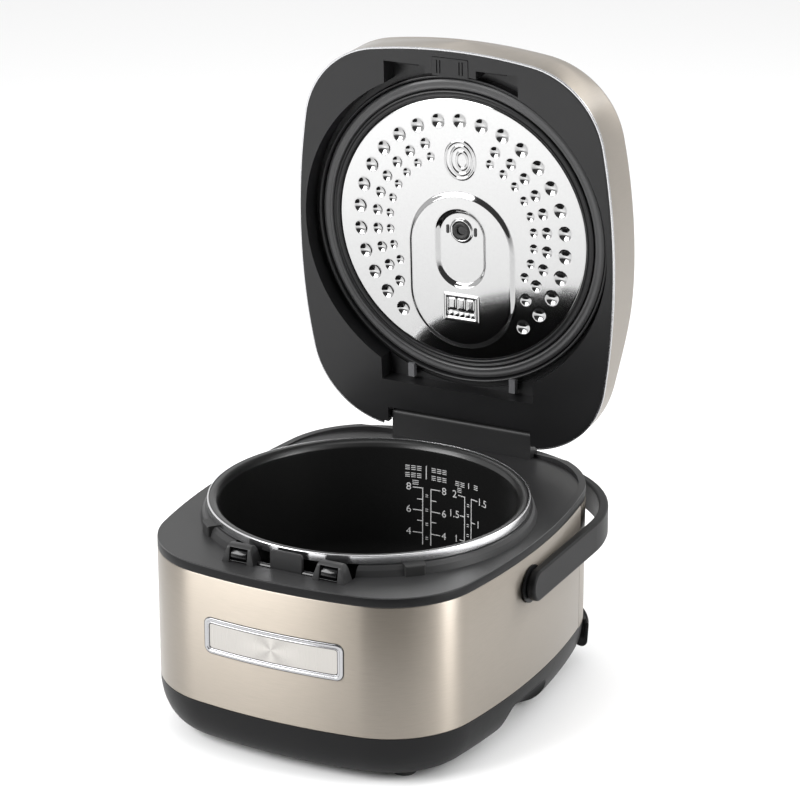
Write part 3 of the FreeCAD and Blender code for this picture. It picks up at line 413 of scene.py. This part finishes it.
def body_shell():
    """Wrapped metal shell: a band open at the rear, with folded edges."""
    profile = [(1.2, SHELL_BOTTOM + 0.3), (0.5, SHELL_BOTTOM), (0.0, SHELL_BOTTOM + 0.6),
               (0.0, SHELL_TOP - 0.7), (0.4, SHELL_TOP - 0.1), (1.2, SHELL_TOP)]
    plans = {}
    for inset, _ in profile:
        ring = outline(inset, BODY_Y)
        start = len(ring) // 4
        turned_ring = ring[start:] + ring[:start]
        plans[inset] = [p for p in turned_ring if p[1] < REAR_SEAM_Y - 0.01]
    count = min(len(plan) for plan in plans.values())
    rings = [[(x, y, z) for x, y in plans[inset][:count]] for inset, z in profile]
    points, faces = skin(rings, wrap=False)
    made = piece("shell_band", points, faces, "cooker_body", "champagne_metal", ["body_shell"])
    return modified(made, "SOLIDIFY", thickness=0.9 * MM, offset=-1)


WINDOW_CORNER_R = 5.2
PLATE_INSET = 3.9
PLATE_CORNER_R = 2.6


def window_plate(half_w, half_h, middle):
    """Turned plate as a grid that follows the curve of the front, with rounded corners."""
    rows, columns = 12, 60
    grid = []
    for row in range(rows + 1):
        v = half_h * (row / (rows / 2) - 1)
        shrink = max(0.0, abs(v) - (half_h - PLATE_CORNER_R))
        reach = half_w - (PLATE_CORNER_R - math.sqrt(max(PLATE_CORNER_R ** 2 - shrink ** 2, 0)))
        across = [reach * (2 * column / columns - 1) for column in range(columns + 1)]
        grid.append([(u, front_y(u, 0.45), middle + v) for u in across])
    piece("window_plate", *skin(grid, wrap=False), "cooker_body", "window_plate", ["panel_plate"])


def window():
    """Chrome frame, plate, and black strips painted in as the shadow gaps on both sides of the frame, all
    following the curve of the front.
    """
    low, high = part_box("panel_bezel")
    half_w, half_h = (high.x - low.x) / 2 / MM, (high.z - low.z) / 2 / MM
    middle = (high.z + low.z) / 2 / MM

    def ring(inset, proud):
        plan = rounded_box(half_w - inset, half_h - inset, WINDOW_CORNER_R - inset * 0.8, 10)
        return [(u, front_y(u, proud), middle + v) for u, v in subdivided(plan, 28)]

    section = [(0.0, -0.3), (0.0, 0.9), (1.3, 1.2), (2.0, 1.2), (2.3, 0.75), (2.9, 0.75), (3.3, 1.0),
               (3.8, 0.9), (4.1, -0.3)]
    rings = [ring(inset, proud) for inset, proud in softened(section, 0.35, steps=3, closed=False)]
    piece("window_frame", *skin(rings), "cooker_body", "chrome_trim", ["panel_bezel"])
    # The black strips at both edges of the frame are painted shade: dark rubber laid where the shadow gaps round
    # the frame fall.
    for name, inset in (("outer", -0.35), ("inner", 3.75)):
        bead = [(0.0, -0.2), (0.0, 0.62), (0.5, 0.62), (0.5, -0.2)]
        rings = [ring(inset + step, proud) for step, proud in bead]
        piece("window_gap_shade_" + name, *skin(rings, closed=True), "cooker_body", "black_rubber")
    window_plate(half_w - PLATE_INSET, half_h - PLATE_INSET, middle)


def subdivided(ring, parts):
    """A rounded outline with its four straight runs divided, so that it can follow a curve."""
    lengths = sorted(math.dist(here, ring[(place + 1) % len(ring)]) for place, here in enumerate(ring))
    result = []
    for place, here in enumerate(ring):
        after = ring[(place + 1) % len(ring)]
        pieces = parts if math.dist(here, after) >= lengths[-4] - 1e-6 else 1
        for step in range(pieces):
            t = step / pieces
            result.append((here[0] * (1 - t) + after[0] * t, here[1] * (1 - t) + after[1] * t))
    return result


# ---------------------------------------------------------------- inner pot
POT_R, POT_WALL, POT_CORNER_R = 111.5, 2.2, 36.0
POT_BOTTOM = pot_low.z / MM
RIM_TOP = pot_high.z / MM


def inner_pot():
    """Vessel coated inside and over the rim, with a satin steel band round the outside of the rim."""
    rim_r = RIM_R / MM
    inner_r = POT_R - POT_WALL
    corner = (POT_R - POT_CORNER_R, POT_BOTTOM + POT_CORNER_R)
    outside, inside = [(0, POT_BOTTOM)], [(0, POT_BOTTOM + POT_WALL)]
    for step in range(25):
        angle = math.radians(90) * step / 24
        way = (math.sin(angle), -math.cos(angle))
        outside.append((corner[0] + way[0] * POT_CORNER_R, corner[1] + way[1] * POT_CORNER_R))
        near = POT_CORNER_R - POT_WALL
        inside.append((corner[0] + way[0] * near, corner[1] + way[1] * near))
    top = RIM_TOP - 6.4
    lip = [(POT_R, top), (rim_r - 1.0, top + 0.1), (rim_r - 1.0, RIM_TOP - 0.7),
           (rim_r - 2.0, RIM_TOP - 0.05), (rim_r - 4.4, RIM_TOP - 0.3), (rim_r - 6.6, RIM_TOP - 1.5),
           (inner_r, RIM_TOP - 4.4), (inner_r, RIM_TOP - 8.0)]
    vessel = outside + softened(lip, 0.7, 3, closed=False) + inside[::-1]
    piece("pot_vessel", *turned(vessel), "pot", "nonstick", ["inner_pot"])
    band = [(rim_r - 1.1, top - 0.2), (rim_r, top - 0.2), (rim_r, RIM_TOP - 0.5),
            (rim_r - 0.5, RIM_TOP), (rim_r - 1.1, RIM_TOP - 0.05)]
    piece("pot_rim", *turned(softened(band, [0.1, 0.9, 0.7, 0.2, 0.1], steps=5)), "pot", "rim_steel")


def sensor_coil():
    """Open coil under the sensor, short enough for the sensor's travel."""
    radius, wire, low, high, turns, steps = 8.0, 0.5, 29.0, 34.3, 3.5, 24
    rings = []
    for step in range(int(turns * steps) + 1):
        angle = math.tau * step / steps
        z = low + (high - low) * step / (turns * steps)
        ring = []
        for corner in range(8):
            turn = math.tau * corner / 8
            out = radius + wire * math.cos(turn)
            ring.append((out * math.cos(angle), out * math.sin(angle), z + wire * math.sin(turn)))
        rings.append(ring)
    piece("sensor_coil", *skin(rings, caps=True), "cooker_body", "spring_steel", ["sensor_spring"])


PRINT_R = POT_R - POT_WALL - 0.07
PRINT_W = 0.75


def wrapped(angle, height, u, v):
    """Point on the inner wall, u to the right of and v above a place given in degrees and millimetres."""
    turn = math.radians(angle) - u / PRINT_R
    return PRINT_R * math.cos(turn), PRINT_R * math.sin(turn), height + v


def printed_bar(points, faces, angle, height, u0, u1, v0, v1):
    steps = max(1, int(abs(u1 - u0) / 2))
    first = len(points)
    for step in range(steps + 1):
        u = u0 + (u1 - u0) * step / steps
        points.append(wrapped(angle, height, u, v0))
        points.append(wrapped(angle, height, u, v1))
    for step in range(steps):
        a = first + 2 * step
        faces.append((a, a + 2, a + 3, a + 1))


def printed_number(points, faces, text, size, angle, height):
    """A number centred on its place, from the built-in font."""
    curve = bpy.data.curves.new("number", "FONT")
    curve.body, curve.size, curve.align_x, curve.align_y = text, size, "CENTER", "CENTER"
    carrier = bpy.data.objects.new("number", curve)
    mesh = bpy.data.meshes.new_from_object(carrier)
    first = len(points)
    points += [wrapped(angle, height, vertex.co.x, vertex.co.y) for vertex in mesh.vertices]
    faces += [tuple(first + index for index in face.vertices) for face in mesh.polygons]
    bpy.data.objects.remove(carrier)
    bpy.data.curves.remove(curve)
    bpy.data.meshes.remove(mesh)


WORD_W, WORD_GAP = 4.7, 1.1


def printed_heading(points, faces, angle, height, width):
    """Blocks of three short bars, each in place of a word."""
    words = max(1, round(width / WORD_W))
    for word in range(words):
        start = -width / 2 + width * word / words
        end = start + width / words - WORD_GAP
        for line in (-1.5, 0.0, 1.5):
            printed_bar(points, faces, angle, height, start, end, line - 0.3, line + 0.3)


def water_scale():
    """Two scales of level marks with numbers, under plain bars in place of their headings."""
    points, faces = [], []
    half = PRINT_W / 2
    scales = [
        {"left": 95.8, "right": 92.2, "top": 124.6, "foot": 70.0,
         "left_marks": [(8, "8"), (4.6, ""), (8, "6"), (4.6, ""), (8, "4"), (4.6, "")],
         "right_marks": [(8, "8"), (4.6, ""), (8, "6"), (4.6, ""), (8, "4"), (4.6, "")],
         "gaps": [0, 9.3, 18.4, 27.0, 36.9, 47.5]},
        {"left": 76.2, "right": 72.7, "top": 124.7, "foot": 84.0,
         "left_marks": [(6.4, "2"), (4.6, "1.5"), (4.6, "1")], "right_marks": [(6.4, "1.5"), (4.2, "1")],
         "gaps": [0, 16.2, 36.2], "right_gaps": [0, 19.0]},
    ]
    for scale in scales:
        for side, sign in (("left", -1), ("right", 1)):
            angle, gaps = scale[side], scale.get(side + "_gaps", scale["gaps"])
            printed_bar(points, faces, angle, 0, -half, half, scale["foot"], scale["top"] + half)
            for gap, (length, number) in zip(gaps, scale[side + "_marks"]):
                z = scale["top"] - gap
                printed_bar(points, faces, angle, z, 0, sign * length, -half, half)
                if number:
                    reach = sign * (length + 2.2 + 1.1 * len(number))
                    printed_number(points, faces, number, 8.4, angle - math.degrees(reach / PRINT_R), z)
        middle = (scale["left"] + scale["right"]) / 2
        for pair in range(4):
            z = scale["top"] - 6 - pair * (scale["top"] - scale["foot"] - 8) / 4
            printed_bar(points, faces, middle, z, -1.1, 1.1, -1.1, -0.5)
            printed_bar(points, faces, middle, z, -1.1, 1.1, 0.5, 1.1)
    headings = [(99.5, 140.4, 14), (99.5, 134.4, 14), (88.3, 140.4, 14), (88.3, 134.0, 14),
                (78.4, 134.0, 10), (70.0, 135.2, 5), (98.6, 128.6, 6), (78.6, 129.0, 5)]
    for angle, height, width in headings:
        printed_heading(points, faces, angle, height, width)
    printed_bar(points, faces, 94.3, 0, -half, half, 132.2, 143.2)
    printed_bar(points, faces, 74.2, 0, -half, half, 132.5, 137.0)
    piece("water_scale", points, faces, "pot", "scale_print")


# ---------------------------------------------------------------- inner lid
PLATE_Z = RIM_TOP + 0.9
PLATE_R = 103.3
PLATE_EDGE_R = 1.2
PLATE_RINGS = 220
VENT_R = 6.2


def eased(value, low, high):
    t = np.clip((value - low) / (high - low), 0, 1)
    return t * t * (3 - 2 * t)


def stadium(x, y, middle, half_w, half_l):
    """Distance outside a stadium whose long side runs along y."""
    return np.hypot(x, np.maximum(np.abs(y - middle) - (half_l - half_w), 0)) - half_w


# dents on both sides of the plate, by radius, first and last angle from its front, size and depth
DENT_ROWS = [(86.2, 36, 180, 5.4, 1.7), (71.4, 48, 156, 4.3, 1.4), (60.6, 60, 156, 3.4, 1.1)]
DENT_STEP = 12


def plate_relief(x, y):
    """Height of the pressed steel above its flat, towards the pot, in millimetres."""
    relief = 1.9 * (1 - eased(stadium(x, y, 32.0, 45.0, 63.0), -4.6, 0.0))
    relief -= 2.3 * (1 - eased(stadium(x, y, 14.2, 21.4, 31.6), -4.0, 0.4))
    for radius, first, last, size, depth in DENT_ROWS:
        for side in (-1, 1):
            for degrees in range(first, last + 1, DENT_STEP):
                turn = math.radians(degrees)
                gap = np.hypot(x - side * radius * math.sin(turn), y - radius * math.cos(turn)) / size
                dent = depth * np.clip(1 - gap ** 2, 0, 1)
                relief -= dent if degrees < 180 or side > 0 else 0
    badge = np.maximum(np.abs(x) - 13.0, np.abs(y - 61.5) - 9.4)
    relief += 0.9 * (1 - eased(np.abs(badge), 0.6, 2.0))
    for bar in range(3):
        mark = np.maximum(np.abs(x - (bar - 1) * 7.6) - 2.6, np.abs(y - 58.5) - 4.2)
        relief += 0.8 * (1 - eased(mark, -0.6, 0.7))
    for bar in range(5):
        mark = np.maximum(np.abs(x - (bar - 2) * 4.6) - 1.5, np.abs(y - 67.3) - 1.4)
        relief += 0.6 * (1 - eased(mark, -0.5, 0.6))
    for half_w, half_l, shift in ((12.4, 14.6, 0.0), (8.6, 11.0, 0.8), (4.6, 6.6, 1.6)):
        ring = np.hypot((x - shift) / half_w, (y + 55.6) / half_l) - 1
        relief += 0.45 * (1 - eased(np.abs(ring * half_w), 0.3, 1.1))
    relief += 1.3 * (1 - eased(np.abs(np.hypot(x, y) - 8.1), 0.4, 1.5))
    return relief


def inner_lid_plate():
    """Pressed and polished disc: a fine polar grid raised and dented by plate_relief."""
    flat_r, rolled = PLATE_R - PLATE_EDGE_R, np.linspace(0.2, 1.57, 6)
    radii = np.concatenate([np.linspace(VENT_R, flat_r, PLATE_RINGS), flat_r + PLATE_EDGE_R * np.sin(rolled)])
    drop = np.concatenate([np.zeros(PLATE_RINGS), PLATE_EDGE_R - PLATE_EDGE_R * np.cos(rolled)])
    angles = np.linspace(0, math.tau, 720, endpoint=False)
    rings = []
    for radius, fall in zip(radii, drop):
        x, y = radius * np.cos(angles), radius * np.sin(angles)
        z = PLATE_Z - plate_relief(x, y) + fall
        rings.append(list(zip(x.tolist(), y.tolist(), z.tolist())))
    outer = [(x, y, PLATE_Z + 2.6) for x, y, _ in rings[-1]]
    rings.append(outer)
    piece("steel_plate", *skin(rings), "inner_lid", "polished_steel", ["inner_lid_plate"], True, sharp=60)


def lid_ring(name, profile, radius, steps, slot, stands_for=(), around=192):
    """Closed ring of the inner lid, turned from its softened (radius, height) section."""
    shape = turned(softened(profile, radius, steps), steps=around)
    piece(name, *shape, "inner_lid", slot, stands_for, swung=True)


def inner_lid_rings():
    """Carrier, seal and vent bush."""
    carrier = [(103.6, 160.5), (104.6, 159.9), (105.2, 160.9), (107.0, 160.9), (107.8, 159.9), (109.2, 160.4),
               (109.6, 163.2), (118.6, 163.2), (119.0, 159.2), (119.8, 158.4), (121.0, 158.6), (121.4, 160.0),
               (121.4, 164.2), (98.0, 164.2), (98.0, 163.7), (103.6, 163.7)]
    lid_ring("inner_lid_carrier", carrier, 0.45, 3, "lid_plastic", ["inner_lid_frame"])
    seal = [(109.9, 163.1), (109.7, 161.8), (111.2, 160.4), (113.2, 160.9), (115.6, 160.3),
            (117.9, 161.2), (118.2, 163.1)]
    lid_ring("seal_lips", seal, 0.8, 4, "grey_rubber", ["seal_ring"])
    bush = [(3.4, 160.0), (5.6, 159.4), (6.9, 160.0), (6.9, 160.8), (6.15, 161.4),
            (6.15, 162.9), (7.4, 163.0), (7.4, 163.6), (3.4, 163.6)]
    lid_ring("vent_bush", bush, 0.5, 3, "black_rubber", ["vent_grommet"], around=64)


def vent_details():
    """Two slots beside the vent bush, and the valve inside it."""
    slot = rounded_box(1.25, 3.5, 1.2, 6)
    for side, name in SIDES:
        x = side * 11.6
        stack = [(1, 162.4), (1, 161.0), (0.8, 160.9)]
        rings = [[(x + u * grow, v * grow, z) for u, v in slot] for grow, z in stack]
        piece("vent_slot_" + name, *skin(rings, caps=True), "inner_lid", "black_rubber", swung=True)
    dome = softened([(0.0, 161.6), (3.5, 161.2), (3.5, 162.4), (0.0, 162.4)], 0.3, 2, closed=False)
    piece("vent_valve", *turned(dome, closed=False, steps=48), "inner_lid", "gloss_black", swung=True)


# ---------------------------------------------------------------- lid edge and latch
PARTING_GAP = 0.9
LID_EDGE = 0.8
SLOT_HALF = 61.0


def lid_band(name, section, slot, stands_for=()):
    """Band with the given (inset, lift) section round the edge of the lid, open at the hinge."""
    plans = {}
    for inset, _ in section:
        ring = outline(inset, LID_Y)
        half = ring[len(ring) // 4:] + ring[:len(ring) // 4]
        plans[inset] = [(x, y) for x, y in half if abs(x) > SLOT_HALF + 1.5 or y < 100]
    stations = min(len(plan) for plan in plans.values())
    rings = []
    for station in range(stations):
        places = [(*plans[inset][station], lift) for inset, lift in section]
        rings.append([(x, y, parting_z(y, lift)) for x, y, lift in places])
    piece(name, *skin(rings, caps=True), "lid", slot, stands_for, swung=True)


def lid_edge():
    """Thin silver band, with a black lip inside it that closes the gap to the inner cover."""
    lift = PARTING_GAP
    band = [(LID_EDGE - 0.3, lift + 0.3), (LID_EDGE, lift), (LID_EDGE + 0.9, lift),
            (LID_EDGE + 0.9, lift + 1.5), (LID_EDGE - 0.3, lift + 1.5)]
    lid_band("lid_edge_band", band, "silver_ring", ["lid_trim_ring"])
    lip = [(LID_EDGE + 0.95, lift + 0.25), (LID_EDGE + 2.5, lift + 0.1),
           (LID_EDGE + 2.5, lift + 1.4), (LID_EDGE + 0.95, lift + 1.4)]
    lid_band("lid_edge_lip", lip, "lid_plastic")


def deck_shade_band():
    """Band of darker plastic round the side of the deck, under its softened top edge: painted shade, the side kept
    darker than the lit top.
    """
    section = [(0.35, -6.9), (0.1, -6.7), (0.1, -1.3), (0.35, -0.9)]
    plans = [outline(inset, BODY_Y) for inset, _ in section]
    rings = []
    for plan, (_, lift) in zip(plans, section):
        foot = lift < -5
        rings.append([(x, y, DECK_Z + lift if foot else parting_z(y, lift)) for x, y in plan])
    points, faces = skin(rings)
    at_hinge = {index for index, (x, y, z) in enumerate(points) if abs(x) < 90 and y > 140}
    faces = [face for face in faces if not at_hinge & set(face)]
    # Painted shade: the side of the deck is sheathed in darker plastic than its top.
    piece("deck_shade_band", points, faces, "cooker_body", "black_plastic")


def cord_hook():
    """Upright hook round the rear corner of the base, over which the mains lead hangs."""
    centre_x, centre_y = 54.7, BODY_Y + 82.6
    corners = [(-4, 17), (0.6, 15.5), (3.8, 18.5), (4.6, 34), (3.7, 36), (2.7, 34.5), (2.3, 22.5), (-4, 24.5)]
    section = softened_yz(corners, [0.2, 2.0, 2.0, 0.9, 0.6, 0.6, 1.2, 0.2])
    steps, start, sweep = 12, 20, 30
    rings = []
    for step in range(steps + 1):
        angle = math.radians(start + sweep * step / steps)
        across, back = math.cos(angle), math.sin(angle)
        reaches = [(CORNER_R + out, z) for out, z in section]
        rings.append([(centre_x + reach * across, centre_y + reach * back, z) for reach, z in reaches])
    piece("cord_hook", *skin(rings, caps=True), "cooker_body", "black_plastic", ["corner_hook"])


HOOK_MIDDLE, HOOK_HALF = 36.0, 7.2
HOOK_PLAY = 1.2
HOOD_WALL = 1.6
LATCH_Y, LATCH_Z = -121.0, 143.6
ROD_R, ROD_HALF = 2.5, 28.0
APRON_HALF = 49.2


def prism_x(profile, x0, x1, grow=0.0):
    """Closed (y, z) profile drawn out along x. grow widens both ends at the foot."""
    low, high = min(z for _, z in profile), max(z for _, z in profile)
    flare = [grow * (high - z) / (high - low) for _, z in profile]
    start = [(x0 - wide, y, z) for (y, z), wide in zip(profile, flare)]
    end = [(x1 + wide, y, z) for (y, z), wide in zip(profile, flare)]
    return skin([start, end], caps=True)


def latch_hook(name, x, stands_for):
    corners = [(-126.8, 148.3), (-127.9, 149.2), (-127.2, 152.2), (-124.6, 155.0), (-120.5, 155.4),
               (-119.8, 148.3)]
    nose = softened_yz(corners, [0.3, 0.6, 0.9, 1.6, 0.8, 0.3])
    half = HOOK_HALF - HOOK_PLAY
    hook = piece("hook_" + name, *prism_x(nose, x - half, x + half), "latch", "gloss_black", stands_for)
    modified(hook, "BEVEL", width=0.5 * MM, segments=2, limit_method="ANGLE")


def latch_hood(name, x):
    """Fixed hood over a hook, open in front and below."""
    corners = [(-129.0, 145.5), (-126.9, 156.4), (-124.8, 158.3), (-120.0, 158.3), (-117.6, 155.0),
               (-116.9, 145.5)]
    dome = softened_yz(corners, [0.2, 1.0, 1.0, 1.2, 1.2, 0.2])
    half = HOOK_HALF + HOOD_WALL
    hood = piece("hood_" + name, *prism_x(dome, x - half, x + half, 4.0), "cooker_body", "deck_plastic")
    hollow = [(-140.0, 145.0), (-140.0, 155.4), (-126.0, 156.6), (-119.0, 156.6), (-118.0, 145.0)]
    cut(hood, piece("hollow", *prism_x(hollow, x - HOOK_HALF, x + HOOK_HALF), None, None))
    modified(hood, "BEVEL", width=0.45 * MM, segments=2, limit_method="ANGLE")


def hook_seat(name, x):
    lower = [(-127.6, 145.9), (-128.3, 147.0), (-127.4, 147.4), (-118.2, 147.4), (-118.2, 145.9)]
    half = HOOK_HALF - 0.2
    seat = prism_x(softened_yz(lower, 0.3), x - half, x + half)
    piece("hook_seat_" + name, *seat, "cooker_body", "gloss_black")


def push_tab():
    """Bevelled plate between the hoods, which the closing lid pushes."""
    plate = rounded_box(13.0, 7.8, 2.6, 6)
    layers = [(0.955, -123.7), (1.0, -123.1), (1.0, -121.6), (0.955, -121.0)]
    rings = [[(u * grow, y, 151.2 + v * grow) for u, v in plate] for grow, y in layers]
    piece("push_tab", *skin(rings, caps=True), "latch", "deck_plastic")


def latch():
    """Two glossy hooks in fixed hoods, with the push tab and the bar between them."""
    for side, name in SIDES:
        x = side * HOOK_MIDDLE
        latch_hook(name, x, ["latch_bar"] if side < 0 else [])
        latch_hood(name, x)
        hook_seat(name, x)
    profile = [(0.0, -ROD_HALF), (ROD_R, -ROD_HALF), (ROD_R, ROD_HALF), (0.0, ROD_HALF)]
    points, faces = turned(profile, closed=False, steps=32)
    rod = [(z, LATCH_Y + x, LATCH_Z + 1.0 + y) for x, y, z in points]
    piece("latch_rod", rod, faces, "latch", "gloss_black")
    push_tab()
    tray = [(-129.6, 145.55), (-125.6, 145.75), (-124.6, 145.2), (-124.6, 143.0), (-129.6, 143.0)]
    apron = prism_x(softened_yz(tray, 0.3), -APRON_HALF, APRON_HALF)
    piece("latch_apron", *apron, "cooker_body", "deck_plastic")


def bevelled(*names, width=0.5):
    """Breaks the sharp edges of nodes shown as they come."""
    for name in names:
        modifier = NODES[name].modifiers.new("edges", "BEVEL")
        modifier.width, modifier.segments = width * MM, 2
        modifier.limit_method, modifier.angle_limit = "ANGLE", math.radians(40)


bevelled("top_deck", "lid_inner_cover", "hinge_cover", "handle_bosses", "inner_lid_lugs",
         "open_button", "steam_cap", "rear_cover", width=0.5)
bevelled("carry_handle", width=1.2)
bevelled("pot_rests", "inner_lid_button", width=0.4)
lid_edge()
latch()
deck_shade_band()
cord_hook()
body_shell()
window()
inner_pot()
sensor_coil()
water_scale()
inner_lid_plate()
inner_lid_rings()
vent_details()


# ---------------------------------------------------------------- stage, light and camera
def area_light(name, size, size_y, power, place, target):
    data = bpy.data.lights.new(name, "AREA")
    data.shape, data.size, data.size_y = "RECTANGLE", size, size_y
    data.energy = power
    lamp = bpy.data.objects.new(name, data)
    bpy.context.scene.collection.objects.link(lamp)
    lamp.location = place
    lamp.rotation_euler = (Vector(target) - Vector(place)).to_track_quat("-Z", "Y").to_euler()


def floor():
    mesh = bpy.data.meshes.new("studio_floor")
    half = 6.0
    corners = [(-half, -half, 0), (half, -half, 0), (half, half, 0), (-half, half, 0)]
    mesh.from_pydata(corners, [], [(0, 1, 2, 3)])
    plane = bpy.data.objects.new("studio_floor", mesh)
    bpy.context.scene.collection.objects.link(plane)
    material, _, shader = new_material("studio_floor")
    shader.inputs["Base Color"].default_value = (0.92, 0.92, 0.92, 1)
    shader.inputs["Roughness"].default_value = 0.9
    mesh.materials.append(material)


CAMERA_FROM_RIM = Vector((0.95836, -1.80398, 0.80167))
CAMERA_BACK = Vector((0.43257, -0.83657, 0.33620))


def camera():
    data = bpy.data.cameras.new("camera")
    data.lens, data.sensor_width = 135.2, 36.0
    data.clip_start, data.clip_end = 0.05, 50
    made = bpy.data.objects.new("camera", data)
    bpy.context.scene.collection.objects.link(made)
    made.location = Vector((0, POT_Y, RIM_Z)) + CAMERA_FROM_RIM
    made.rotation_mode = "QUATERNION"
    made.rotation_quaternion = (-CAMERA_BACK).to_track_quat("-Z", "Y")
    bpy.context.scene.camera = made


def studio_world():
    """White room with one darker side in front, which gives the bright metal its contrast."""
    world = bpy.data.worlds.new("studio")
    world.use_nodes = True
    tree = world.node_tree
    where = node(tree, "ShaderNodeTexCoord")
    towards = node(tree, "ShaderNodeVectorMath", operation="DOT_PRODUCT")
    tree.links.new(where.outputs["Generated"], towards.inputs[0])
    towards.inputs[1].default_value = Vector((0.22, -0.93, 0.30)).normalized()
    shade = ramp(tree, towards.outputs["Value"], 1.0, 0.08, start=0.45, end=0.85)
    back = tree.nodes["Background"]
    tree.links.new(shade, back.inputs["Color"])
    back.inputs["Strength"].default_value = 1.1
    bpy.context.scene.world = world


bpy.context.scene.view_settings.view_transform = "Standard"
studio_world()
floor()
camera()
area_light("front_box", 1.0, 1.0, 30, (-0.80, -1.15, 0.95), (0, -0.1, 0.15))
area_light("corner_strip", 0.36, 1.1, 11, (1.33, 0.06, 0.66), (0, 0, 0.12))
area_light("rear_box", 0.7, 0.7, 7, (0.90, 1.30, 1.25), (0, 0, 0.30))
area_light("top", 1.6, 1.2, 8, (0, 0.2, 2.2), (0, 0, 0.15))
